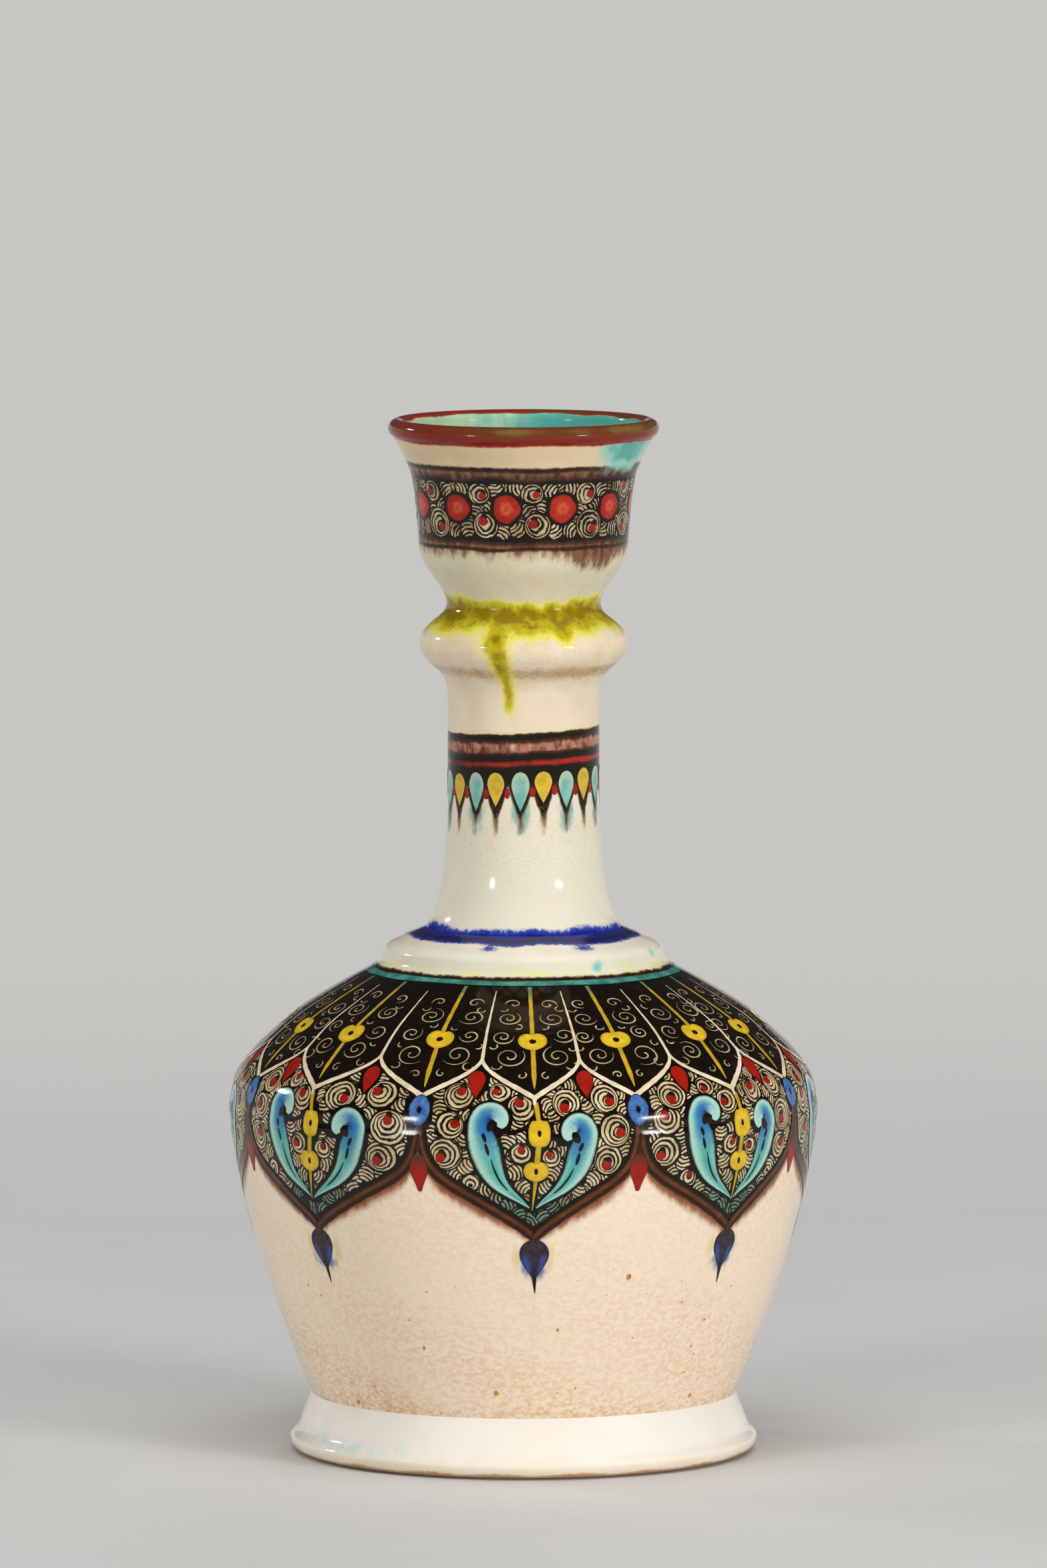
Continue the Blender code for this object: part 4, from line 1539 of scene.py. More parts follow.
@dataclass
class ShoulderTongues(Ornament):
    """Sixteen black tongues on the shoulder: dividing lines, scalloped ends, stems, flowers and scrolls."""

    slot: ClassVar[str] = "shoulder_glaze"
    ring_at: tuple = (1.55, 1.2)  # place and half width of the turquoise line
    divider: tuple = (6.6, 36.6)  # where the dividing lines start and end
    stem: tuple = (3.4, 46.2)
    tail: tuple = (48.2, 51.2)
    flower: tuple = (28.6, 4.35, 3.55)  # place, half width and half height
    drop: tuple = (39.9, 49.0, 2.7)  # start, end and half width
    scrolls: tuple = (  # place, distance from the stem, size and turns
        (11.6, 5.2, 2.5, 1.1), (18.8, 6.4, 3.8, 1.6), (26.6, 8.9, 3.2, 1.5), (34.4, 6.7, 4.3, 1.6),
        (41.4, 3.7, 1.7, 0.9), (14.6, 8.2, 1.3, 0.55), (23.0, 3.6, 1.2, 0.5),
        (31.0, 11.6, 1.2, 0.5), (38.4, 11.0, 1.6, 0.6),
    )
    dice: np.random.Generator = field(default_factory=lambda: rolls(30))

    def coats(self) -> list[tuple]:
        """Draw every line and motif of the tongues, in the order of the random draws.

        Returns:
            The coats.
        """
        cream = [self.dividers(), self.hang(TURNS, self.tail, 0.85 - 0.5 * shares(8)), *self.scallops()]
        stems = self.stems()
        places = together(RING.angle(TIPS), self.flower[0] + self.dice.uniform(-0.5, 0.5, TIPS.size))
        wide, high = self.dice.uniform(0.94, 1.06, (2, TIPS.size)) * np.array(self.flower[1:])[:, None]
        tilt = self.dice.uniform(-0.12, 0.12, TIPS.size)
        petals = blot(self.line, places, wide, high, tilt, notched, 13)
        eyes = blot(self.line, places + [0.0, 0.1], 1.0, 0.9, 0.0, uneven, 5)
        drops = self.drops()
        around = np.linspace(-math.pi, math.pi, 361)
        level = self.ring_at[0] + wander(around, 0.12, 9, 31)
        ring = ribbon(self.line, around, level, self.ring_at[1] + wander(around, 0.14, 16, 32), 5)
        return [
            ("tongue_lines", Layer.LINE, Paints.CREAM_LINE, cream),
            ("tongue_stems", Layer.LINE, Paints.STEM, [stems]),
            ("tongue_flowers", Layer.LEAF, Paints.YELLOW, [petals]),
            ("tongue_flower_eyes", Layer.DOT, Paints.INK_LINE, [eyes]),
            ("node_drops", Layer.LINE, Paints.RED, [drops]),
            ("tongue_scrolls", Layer.FIELD, Paints.SCROLL, self.scroll_lines()),
            ("turquoise_ring", Layer.LINE, Paints.RING_LINE, [ring]),
        ]

    def dividers(self) -> Patch:
        """Straight lines down to the nodes, thin at the top and fuller below.

        Returns:
            The lines.
        """
        share = shares(40)
        along = part_way(self.divider, share) + self.dice.uniform(-1.5, 0.5, TURNS.shape) * (1.0 - share)
        half = 0.12 + 0.42 * share**0.8 + 0.03 * np.sin(share * 40.0 + TURNS + 0.5)
        return ribbon(self.line, RING.angle(TURNS + 0.5), along, half)

    def scallops(self) -> list[Patch]:
        """From each node an ogee to either side, down to the tips, with a dab over each meeting.

        Returns:
            The strokes and the dabs.
        """
        share = shares(48) ** 1.4
        half = 0.5 + 0.28 * np.sin(np.clip(share * 1.25, 0.0, 1.0) * math.pi / 2)
        half = half + 0.05 * np.sin(share * 31.0 + 2.0 * (TURNS + 0.5))
        found = [
            ribbon(self.line, RING.angle(TURNS + 0.5 + way * share), scallop(share), half) for way in (-0.5, 0.5)
        ]
        for counts, along, high in ((TIPS + 0.5, 36.2, 0.9), (TIPS + 1.0, 49.2, 0.75)):
            knot = blot(self.line, together(RING.angle(counts), along), 0.7, high, size=5)
            found.append(replace(knot, rim=0.6 * knot.rim))
        return found

    def stems(self) -> Patch:
        """A stem down each tongue's middle, which ends in a point.

        Returns:
            The stems.
        """
        share = shares(60)
        half = 0.52 + 0.24 * share + 0.04 * np.sin(share * 50.0 + TURNS)
        half = half * np.clip((1.0 - share) / 0.12, 0.0, 1.0) ** 0.6
        lean = self.dice.uniform(-0.02, 0.02, TURNS.shape) * np.clip(share - 0.6, 0.0, 1.0)
        return self.hang(TURNS, self.stem, half, lean=lean)

    def drops(self) -> Patch:
        """Red drops that hang under the nodes, a little to one side or the other.

        Returns:
            The drops.
        """
        share = shares(30)
        half = self.drop[2] * np.maximum(drop_share(share, 0.34, 1.6), 0.1)
        half = half * self.dice.uniform(0.92, 1.06, TURNS.shape)
        lean = self.dice.uniform(-0.016, 0.01, TURNS.shape) * (1.0 - 0.5 * share)
        return self.hang(TURNS + 0.5, self.drop, half, 9, lean)

    def scroll_lines(self) -> list[Patch]:
        """Fine spirals in both halves of each tongue, whose radius grows steadily with their turn angle.

        Returns:
            The scrolls.
        """
        strokes, steps = [], shares(44)
        half = (0.19 + 0.05 * np.sin(steps * 9.0 + TURNS)) * np.clip((1.0 - steps) / 0.1, 0.3, 1.0)
        for level, away, size, turns in self.scrolls:
            first = 0.08 if turns > 0.8 else 0.8
            for way in (-1.0, 1.0):
                jitter = self.dice.uniform(-1.0, 1.0, (5, *TURNS.shape))
                reach = size * (1.0 + 0.12 * jitter[0]) * part_way((first, 1.0), steps**0.85)
                sweep = way * (turns + 0.15 * jitter[1]) * math.tau * steps + 0.9 * jitter[2]
                sweep = sweep + (math.pi if way < 0 else 0.0)
                along = level + 0.6 * jitter[3] + 0.9 * reach * np.sin(sweep)
                aside = way * away + 0.5 * jitter[4] + reach * np.cos(sweep)
                turn = RING.angle(TURNS) + aside / self.line.radius(level)
                strokes.append(ribbon(self.line, turn, along, half, 2))
        return strokes


@dataclass
class Lappets(Ornament):
    """Eight lappets below the tongues, filled with rosettes round two curled leaves and a flower stem.

    Places are given as millimetres right of a lappet's middle and along the body's line.
    """

    slot: ClassVar[str] = "belly_glaze"
    half_span: float = 33.0  # half a lappet's width
    leaves: tuple = (  # places and half widths of the left and the right leaf's spine, from its tail to its hook
        (
            (-1.3, 81.3, 0.15), (-4.1, 79.0, 0.8), (-7.5, 76.3, 1.6), (-10.2, 73.4, 2.6), (-12.2, 69.5, 3.6),
            (-13.4, 65.6, 4.2), (-14.3, 62.3, 4.2), (-15.1, 59.1, 3.6), (-15.2, 55.9, 3.1), (-13.9, 53.5, 2.7),
            (-11.5, 53.0, 2.5), (-9.6, 54.3, 2.4), (-9.0, 56.2, 1.9), (-9.6, 57.8, 0.8),
        ),
        (
            (0.2, 81.4, 0.15), (2.6, 79.5, 0.7), (5.8, 77.3, 1.3), (8.8, 74.9, 2.1), (11.3, 72.0, 2.9),
            (13.1, 68.6, 3.6), (14.2, 65.2, 3.8), (15.4, 62.0, 3.4), (16.0, 59.2, 3.0), (14.8, 56.9, 2.7),
            (12.7, 56.3, 2.5), (10.7, 57.7, 2.4), (10.0, 59.8, 2.0), (10.6, 61.5, 0.9),
        ),
    )
    # Strokes on a leaf: where they start and end along it, how far to the side, and half width.
    veins: tuple = ((0.16, 0.36, 0.25, 0.3), (0.38, 0.46, 0.16, 0.5), (0.47, 0.53, 0.22, 0.55))
    leaf_eyes: tuple = ((-12.2, 57.2), (12.7, 60.7))
    flowers: tuple = ((1.4, 59.4, 3.3, 4.1), (0.4, 70.4, 3.6, 3.1))  # place, half width and half height
    stalks: tuple = (  # both ends' places and half widths
        ((0.3, 1.3), (50.4, 56.5), (0.75, 0.6)),
        ((1.2, 0.6), (62.4, 68.4), (0.8, 0.8)),
        ((0.3, -0.7), (72.8, 82.0), (0.62, 0.1)),
    )
    meeting: float = 53.2  # where the blue flowers sit
    point: tuple = (66.0, 77.0, 2.8)  # start, end and half width of the red points below them
    pendant: tuple = (91.0, 103.0)
    hair: tuple = (101.6, 107.6)
    rosettes: tuple = (  # places and radii of the large ones
        (-22.0, 48.9, 4.6), (-9.6, 47.6, 3.3), (-3.6, 52.3, 4.0), (9.9, 50.2, 4.8), (22.3, 49.4, 4.6),
        (-24.3, 56.8, 4.3), (-25.6, 66.0, 4.9), (24.8, 58.6, 5.2), (22.6, 67.6, 4.4), (-18.0, 74.2, 2.8),
        (-4.7, 83.4, 2.4), (2.4, 84.0, 2.4), (13.6, 76.6, 2.3), (-4.0, 65.2, 3.3), (5.4, 66.6, 2.8),
        (-29.0, 58.6, 1.7), (16.5, 52.0, 2.2), (5.8, 54.3, 2.3),
    )
    clear_lines: tuple = (  # places and half widths along the stem and the two leaves' tendrils
        ((0.3, 48.6, 0.9), (1.3, 56.0, 0.8), (0.6, 66.0, 1.0), (-0.6, 82.0, 0.5)),
        ((-10.6, 58.2, 0.1), (-6.5, 59.2, 0.1), (-2.2, 57.6, 0.1)),
        ((11.3, 62.0, 0.1), (8.0, 62.4, 0.1), (4.5, 58.6, 0.1)),
    )
    margin: float = 0.55  # width of the dark line round the other motifs
    dice: np.random.Generator = field(default_factory=lambda: rolls(50))

    def turn_at(self, lappet: Array, right: Array) -> Array:
        """The turn angle at a distance right of a lappet's middle, as the hand spaced it."""
        return RING.angle(2.0 * lappet + np.asarray(right) / self.half_span)

    def coats(self) -> list[tuple]:
        """Draw every line and motif of the lappets, in the order of the random draws.

        Returns:
            The coats.
        """
        left, left_veins = self.leaf(self.leaves[0], 1.0)
        right, right_veins = self.leaf(self.leaves[1], -1.0)
        veins = left_veins + right_veins
        for across, along in self.leaf_eyes:
            places = together(self.turn_at(LAPPETS, across), along)
            veins.append(blot(self.line, places, 1.2, 1.7, math.copysign(0.5, -across), lens))
        yellow, eyes = [], []
        for (across, along, wide, high), rim in zip(self.flowers, (barrel, notched)):
            places = together(self.turn_at(LAPPETS, across), along)
            size = self.dice.uniform(0.95, 1.05, LAPPETS.size)
            yellow.append(blot(self.line, places, wide * size, high * size, 0.0, rim, 13))
            eyes.append(blot(self.line, places, 0.55, 0.95, size=5))
        meeting = together(RING.angle(2.0 * LAPPETS + 1.0), self.meeting)
        eyes.append(blot(self.line, meeting, 0.65, 0.95, size=5))
        batch = self.fill()
        red, flames = batch.dabs(2.65, 1.45)
        return [
            ("lappet_borders", Layer.LINE, Paints.BORDER, self.borders()),
            ("lappet_leaves", Layer.LINE, Paints.LEAF, [left, right]),
            ("leaf_veins", Layer.LEAF, Paints.INK_LINE, veins),
            ("lappet_flowers", Layer.LEAF, Paints.YELLOW, yellow),
            ("lappet_flower_eyes", Layer.DOT, Paints.INK_LINE, eyes),
            ("lappet_stems", Layer.LINE, Paints.STEM, self.stems()),
            ("meeting_flowers", Layer.LEAF, Paints.BLUE, [blot(self.line, meeting, 3.35, 4.4, 0.0, lens, 11)]),
            ("meeting_drops", Layer.LEAF, Paints.POINT_RED, [self.points()]),
            ("pendants", Layer.LEAF, Paints.PENDANT, [self.pendants()]),
            ("pendant_hairs", Layer.LINE, Paints.INK_LINE, [self.hairs()]),
            ("lappet_rosettes", Layer.FIELD, Paints.ROSETTE, batch.discs()),
            ("rosette_flames", Layer.LINE, Paints.INK_LINE, [flames]),
            ("rosette_dots", Layer.LEAF, Paints.RED, [red]),
        ]

    def borders(self) -> list[Patch]:
        """The lower edge of each half, as one band of brown between two dark lines.

        Returns:
            The bands.
        """
        share = np.sin(shares(90) * math.pi / 2)[::-1]
        half = np.interp(share, [0.0, 0.06, 0.9, 1.0], [1.15, 1.55, 1.7, 1.2])
        half = half + 0.08 * np.sin(share * 40.0 + 3.0 * ROWS)
        bands = []
        for way in (-1.0, 1.0):
            bands.append(ribbon(self.line, RING.angle(2.0 * ROWS + way * share), lappet_edge(share) - 0.9, half, 7))
            bands[-1].motif[..., 1] *= -way
        return bands

    def leaf(self, spine: tuple, way: float) -> tuple[Patch, list[Patch]]:
        """A curled leaf with its dark veins.

        Args:
            spine: Its spine's places and half widths.
            way: 1 where its hook curls to the right, -1 where it curls to the left.

        Returns:
            The leaves, and the strokes on them.
        """
        path = flowing(spine, 0.6)
        shift = self.dice.uniform(-0.4, 0.4, (2, *ROWS.shape))
        turn = self.turn_at(ROWS, path[:, 0] + shift[0])
        leaves = ribbon(self.line, turn, path[:, 1] + shift[1], path[:, 2], 11)
        leaves.motif[..., 1] *= way
        strokes, count = [], np.arange(len(path))
        taper = np.sin(np.linspace(0.08, 0.92, 16) * math.pi) ** 0.7
        for start, end, side, thick in self.veins:
            at = np.linspace(start, end, 16) * count[-1]
            right, along, wide = (np.interp(at, count, part) for part in path.T)
            turn = self.turn_at(ROWS, right + way * side * wide + shift[0])
            strokes.append(ribbon(self.line, turn, along + shift[1], thick * taper))
        return leaves, strokes

    def stems(self) -> list[Patch]:
        """The stem from the tongue's tip through both flowers to the leaves' tails.

        Returns:
            Its three stretches.
        """
        found = []
        for ends in self.stalks:
            across, along, half = (part_way(pair, shares(14)) for pair in ends)
            found.append(ribbon(self.line, self.turn_at(ROWS, across), along, half))
        return found

    def points(self) -> Patch:
        """Red drops with a blunt foot, where two lappets meet."""
        half = np.interp(shares(28), [0.0, 0.12, 0.35, 0.5, 0.85, 0.96, 1.0], [0.3, 0.7, 1.0, 0.95, 0.36, 0.24, 0.08])
        return self.hang(2.0 * ROWS + 1.0, self.point, self.point[2] * half, 9)

    def pendants(self) -> Patch:
        """Drops that hang from the lappets' tips."""
        knots = [(0.0, 1.4), (0.7, 2.6), (2.2, 3.8), (4.2, 4.2), (6.2, 3.8), (8.6, 2.5), (10.6, 1.2), (12.0, 0.3)]
        return self.hang(2.0 * ROWS, self.pendant, edge_at(12.0 * shares(30), knots, 1.0, 0.3), 11)

    def hairs(self) -> Patch:
        """A fine hair below each pendant."""
        share = shares(8)
        return self.hang(2.0 * ROWS, self.hair, 0.7 * (1.0 - share) ** 0.8 + 0.05, lean=0.004 * share)

    def fill(self) -> RosetteBatch:
        """Fill the lappets with rosettes: the large ones, then ever smaller ones where room is left.

        Returns:
            The rosettes.
        """
        x, y = np.meshgrid(np.arange(-32.4, 32.5, 0.25), np.arange(36.0, 91.0, 0.25))
        tongue = 1.0 - np.abs((x / self.half_span + 0.5) % 1.0 - 0.5) * 2.0
        room = np.where((y > scallop(tongue)) & (y < lappet_edge(np.abs(x) / self.half_span)), 9.0, -1.0)
        plot = RosetteField(x, y, self.keep_clear(x, y, room))
        found = []
        for lappet in LAPPETS:
            first = np.array(self.rosettes)
            first[:, 2] *= self.dice.uniform(0.94, 1.06, len(first))
            first[:, :2] += self.dice.uniform(-0.5, 0.5, (len(first), 2))
            discs = plot.pack(first, 0.4, 2.5)
            across, along, radius = discs.T
            step = self.turn_at(lappet, across + 0.5) - self.turn_at(lappet, across - 0.5)
            places = together(self.turn_at(lappet, across), along)
            runs = np.clip((along - 74.0) / 5.0, 0.0, 1.0) * np.clip(1.5 - np.abs(across) / 13.0, 0.0, 1.0)
            found.append((places, step * self.line.radius(along), radius, plot.reaches(discs), runs))
        parts = [np.concatenate(part) for part in zip(*found)]
        return RosetteBatch(self.line, *parts, self.dice.random(len(parts[0])))

    def keep_clear(self, x: Array, y: Array, room: Array) -> Array:
        """Take the room of every other motif, and a dark line round it, out of the room for rosettes.

        Args:
            x: Distance right of the lappet's middle, as a grid.
            y: Length along the body's line, as a grid.
            room: The room so far.

        Returns:
            The room that is left.
        """
        share, half = shares(60), self.half_span / 2
        paths = [flowing(spine, 0.8) + [0.0, 0.0, 0.25] for spine in self.leaves]
        for right, along, wide, high in self.flowers:
            spread = np.linspace(min(wide - high, 0.0), max(high - wide, 0.0), 60)
            paths.append(together(right, along + spread, min(wide, high) + 0.2))
        paths += [flowing(knots, 0.8) for knots in self.clear_lines]
        drop = 2.7 * drop_share(share, 0.34, 1.6)
        for side in (-1.0, 1.0):
            paths.append(together(side * self.half_span, 50.6 + 5.0 * share, 3.4))
            paths.append(together(side * half, 39.9 + 9.1 * share, drop))
            paths.append(together(side * self.half_span * share, lappet_edge(share) - 0.9, 1.8))
            paths.append(together(side * half * share, scallop(1.0 - share), 0.75))
            paths.append(together(side * half * (1.0 + share), scallop(share), 0.75))
        for path in paths:
            away = np.hypot(x[..., None] - path[:, 0], y[..., None] - path[:, 1]) - path[:, 2]
            room = np.minimum(room, away.min(-1) - self.margin)
        return room


@dataclass
class CupBand(Ornament):
    """The scroll band round the cup: twelve red dots among rosettes on a dark ground, set by their heights."""

    slot: ClassVar[str] = "cup_glaze"
    dots: int = 12
    front: float = -8.0  # angle of the dot nearest the front, in degrees
    level: float = 276.1
    half_sizes: Pair = (4.1, 3.9)
    band: Pair = (283.4, 267.9)
    rows: Pair = (280.4, 271.2)  # of the large rosettes above and below

    def coats(self) -> list[tuple]:
        """Lay the dots and pack rosettes round them.

        Returns:
            The coats.
        """
        dice = rolls(70)
        along = self.line.reach(self.level)
        radius = float(self.line.radius(along))
        angles = self.front + 360.0 / self.dots * np.arange(self.dots) + dice.uniform(-1.5, 1.5, self.dots)
        angles = wrapped(np.radians(angles))
        wide, high = dice.uniform(0.95, 1.07, (2, self.dots)) * np.array(self.half_sizes)[:, None]
        dots = blot(self.line, together(angles, along), wide, high, 0.1, uneven, 11)
        half_turn = math.pi * radius
        start, end = (self.line.reach(height) for height in self.band)
        x, y = np.meshgrid(np.arange(0.5 - half_turn, half_turn - 0.5, 0.25), np.arange(start, end, 0.25))
        room = np.minimum(y - start, end - y)
        for angle, across, tall in zip(angles, wide, high):
            for turn in (-math.tau, 0.0, math.tau):
                away = np.hypot((x - (angle + turn) * radius) * tall / across, y - along)
                room = np.minimum(room, away - tall - 0.9)
        middle = wrapped(angles + math.pi / self.dots) * radius
        upper, lower = (self.line.reach(height) for height in self.rows)
        above = together(middle - 0.8, upper, dice.uniform(3.2, 4.0, self.dots))
        below = together(middle + 0.9, lower, dice.uniform(3.7, 4.8, self.dots))
        plot = RosetteField(x, y, room, 0.55)
        discs = plot.pack(np.vstack([below, above]), 0.45, 2.55)
        places, stretch = discs[:, :2] / [radius, 1.0], self.line.radius(discs[:, 1]) / radius
        runs, seeds = np.zeros(len(discs)), dice.random(len(discs))
        batch = RosetteBatch(self.line, places, stretch, discs[:, 2], plot.reaches(discs), runs, seeds)
        red, flames = batch.dabs(2.7, 1.3)
        return [
            ("cup_dots", Layer.LINE, Paints.DOT, [dots]),
            ("cup_rosettes", Layer.FIELD, Paints.CUP_ROSETTE, batch.discs()),
            ("cup_flames", Layer.LINE, Paints.INK_LINE, [flames]),
            ("cup_dabs", Layer.LEAF, Paints.RED, [red]),
        ]


@dataclass
class NeckDrops(Ornament):
    """The fringe of drops under the neck's belt, by turns turquoise and yellow, set by their heights."""

    slot: ClassVar[str] = "neck_glaze"
    count: int = 20
    front: float = -2.5  # angle of the turquoise drop nearest the front, in degrees
    top: float = 199.2
    tips: Pair = (188.3, 189.8)  # of the turquoise and of the yellow ones
    half_wide: float = 2.6
    dab: float = 193.4

    def angles(self) -> Array:
        """The drops' turn angles, a turquoise one first, as the hand spaced them."""
        shift = rolls(80).uniform(-0.9, 0.9, self.count)
        return np.radians(self.front + 360.0 / self.count * np.arange(self.count) + shift)

    def coats(self) -> list[tuple]:
        """Lay each drop on the belt's dark fringe, with a red dab between two drops.

        Returns:
            The coats.
        """
        dice, angles, share = rolls(81), self.angles(), shares(30)
        tilt = 0.9 * np.sin(angles)
        half = self.half_wide * np.maximum(drop_share(share, 0.36, 1.35), 0.03)
        drops = []
        for kind, tip in enumerate(self.tips):
            turn = angles[kind::2, None]
            lift = tilt[kind::2, None] + dice.uniform(-0.35, 0.35, turn.shape)
            ends = (self.top + lift, tip + lift + dice.uniform(-0.5, 0.5, turn.shape))
            drops.append(ribbon(self.line, turn, self.at(part_way(ends, share)), half, 9))
        level = self.dab + tilt + dice.uniform(-0.5, 0.5, self.count)
        places = together(angles + math.pi / self.count, self.at(level))
        dabs = blot(self.line, places, dice.uniform(0.8, 1.15, self.count), 1.5, 0.0, uneven)
        return [
            ("turquoise_drops", Layer.LINE, Paints.DROP_TURQUOISE, drops[:1]),
            ("yellow_drops", Layer.LINE, Paints.DROP_YELLOW, drops[1:]),
            ("neck_dabs", Layer.FIELD, Paints.RED, [dabs]),
        ]

    def at(self, height: Array) -> Array:
        """Lengths along the upper line at heights on the neck, which falls steadily there."""
        along = np.linspace(self.line.reach(222.0), self.line.reach(160.0), 200)
        return np.interp(-height, -self.line.height(along), along)


@dataclass
class IronPits(Ornament):
    """Small orange pits scattered over the belly's glaze."""

    slot: ClassVar[str] = "belly_glaze"
    count: int = 130
    ends: Pair = (99.0, 160.0)
    clear: float = 8.0  # how far they keep from the lappets

    def coats(self) -> list[tuple]:
        """Scatter the pits below the lappets.

        Returns:
            The coats.
        """
        dice = rolls(90)
        turn, along = dice.uniform(-math.pi, math.pi, self.count), dice.uniform(*self.ends, self.count)
        shown = along > lappet_edge(lappet_share(turn)) + self.clear
        size = (0.15 + 0.65 * dice.random(self.count) ** 5)[shown]
        pits = blot(self.line, together(turn, along)[shown], size, size * 1.3, 0.2, uneven, 5)
        return [("iron_pits", Layer.FIELD, Paints.PIT, [pits])]


@dataclass(frozen=True)
class Studio:
    """The floor, lamps and camera, in metres."""

    aim: float = 0.1938  # height on the axis that the camera looks at
    distance: float = 4.226  # of the camera from there
    elevation: float = 5.6  # how far the camera looks down, in degrees
    lens: float = 335.0  # focal length, for a frame as high as below
    frame: float = 36.0
    middle: float = 0.15  # height that the lamps face
    half_floor: float = 12.0
    flat_floor: float = 5.0  # how far out the floor stays flat
    pale: Colour = (0.57, 0.565, 0.55)  # what the floor fades to, far from the vessel
    surround: Pair = (0.22, 0.16)  # its light, and how much less of it the gloss mirrors
    lamps: tuple = (  # name, place, width and height, watts, and whether the gloss mirrors it
        ("left_lamp", (-2.3, -2.3, 0.69), (0.34, 0.2), 10.0, True),
        ("right_lamp", (2.56, -2.0, 0.69), (0.55, 0.13), 13.0, True),
        ("left_fill", (-2.3, -2.3, 0.69), (0.9, 0.5), 28.0, False),
        ("right_fill", (2.42, -2.17, 0.69), (0.9, 0.5), 64.0, False),
        ("back_fill", (0.6, 3.2, 0.9), (1.4, 0.8), 34.0, False),
        ("side_lamp", (-2.9, 1.5, 1.35), (0.4, 0.24), 18.0, True),
        ("top_lamp", (0.0, -0.7, 2.2), (1.6, 1.6), 28.0, False),
    )

    def stand(self, data: bpy.types.ID, place: Vector, height: float) -> Piece:
        """Stand a lamp or camera somewhere, turned to the vessel.

        Args:
            data: The lamp or camera.
            place: Where it stands.
            height: The height on the vessel's axis that it faces.

        Returns:
            Its object.
        """
        made = bpy.data.objects.new(data.name, data)
        made.location = place
        made.rotation_euler = (Vector((0.0, 0.0, height)) - made.location).to_track_quat("-Z", "Y").to_euler()
        bpy.context.scene.collection.objects.link(made)
        return made

    def camera(self) -> None:
        """Stand the camera at the photograph's angle."""
        data = bpy.data.cameras.new("camera")
        data.lens, data.sensor_fit, data.sensor_height = self.lens, "VERTICAL", self.frame
        tilt = math.radians(self.elevation)
        away = self.distance * Vector((0.0, -math.cos(tilt), math.sin(tilt)))
        bpy.context.scene.camera = self.stand(data, Vector((0.0, 0.0, self.aim)) + away, self.aim)

    def light(self) -> None:
        """Hang soft rectangular lamps, some of which the gloss mirrors, in a dim surround."""
        for name, place, size, power, mirrored in self.lamps:
            data = bpy.data.lights.new(name, "AREA")
            data.shape, data.energy = "RECTANGLE", power
            data.size, data.size_y = size
            self.stand(data, Vector(place), self.middle).visible_glossy = mirrored
        world = bpy.data.worlds.new("surround")
        bpy.context.scene.world = world
        world.use_nodes = True
        bench = Bench(world.node_tree)
        less = bench.math("MULTIPLY", bench.add("LightPath").outputs["Is Glossy Ray"], self.surround[1])
        strength = bench.math("SUBTRACT", self.surround[0], less)
        bench.feed(world.node_tree.nodes["Background"], {"Color": (0.95, 0.97, 1.0), "Strength": strength})

    def floor(self) -> None:
        """A wide pale floor, flat under the vessel and rising as a square of the distance far from it."""
        side = np.linspace(-self.half_floor, self.half_floor, 41)
        across, depth = np.meshgrid(side, side)
        rise = 0.6 * np.clip(np.hypot(across, depth) / self.flat_floor - 1.0, 0.0, None) ** 2
        points = together(across, depth, rise - 0.0002).reshape(-1, 3)
        mesh_object("floor", points, grid_faces(41, 41), self.floor_finish())

    def floor_finish(self) -> Material:
        """Pale, dull and slightly cloudy, and an even pale tone far from the vessel.

        Returns:
            The material.
        """
        made, bench, shader = Bench.finish("pale_floor")
        place, path = bench.place(), bench.add("LightPath").outputs
        colour = bench.mix(bench.noise(place, 9.0, 4.0), (0.58, 0.575, 0.56), (0.64, 0.635, 0.62))
        bench.feed(shader, {"Base Color": colour, "Roughness": 0.7})
        seen = bench.math("MAXIMUM", path["Is Camera Ray"], path["Is Glossy Ray"])
        seen = bench.math("MAXIMUM", seen, path["Is Transmission Ray"])
        share = bench.math("MULTIPLY", bench.ramp(bench.vector("LENGTH", place), 0.35, 1.3), seen)
        even = bench.add("Emission", {"Color": self.pale, "Strength": 1.0})
        blend = bench.add("MixShader", {0: share, 1: shader.outputs[0], 2: even.outputs[0]})
        bench.feed(made.node_tree.nodes["Material Output"], {"Surface": blend.outputs[0]})
        return made


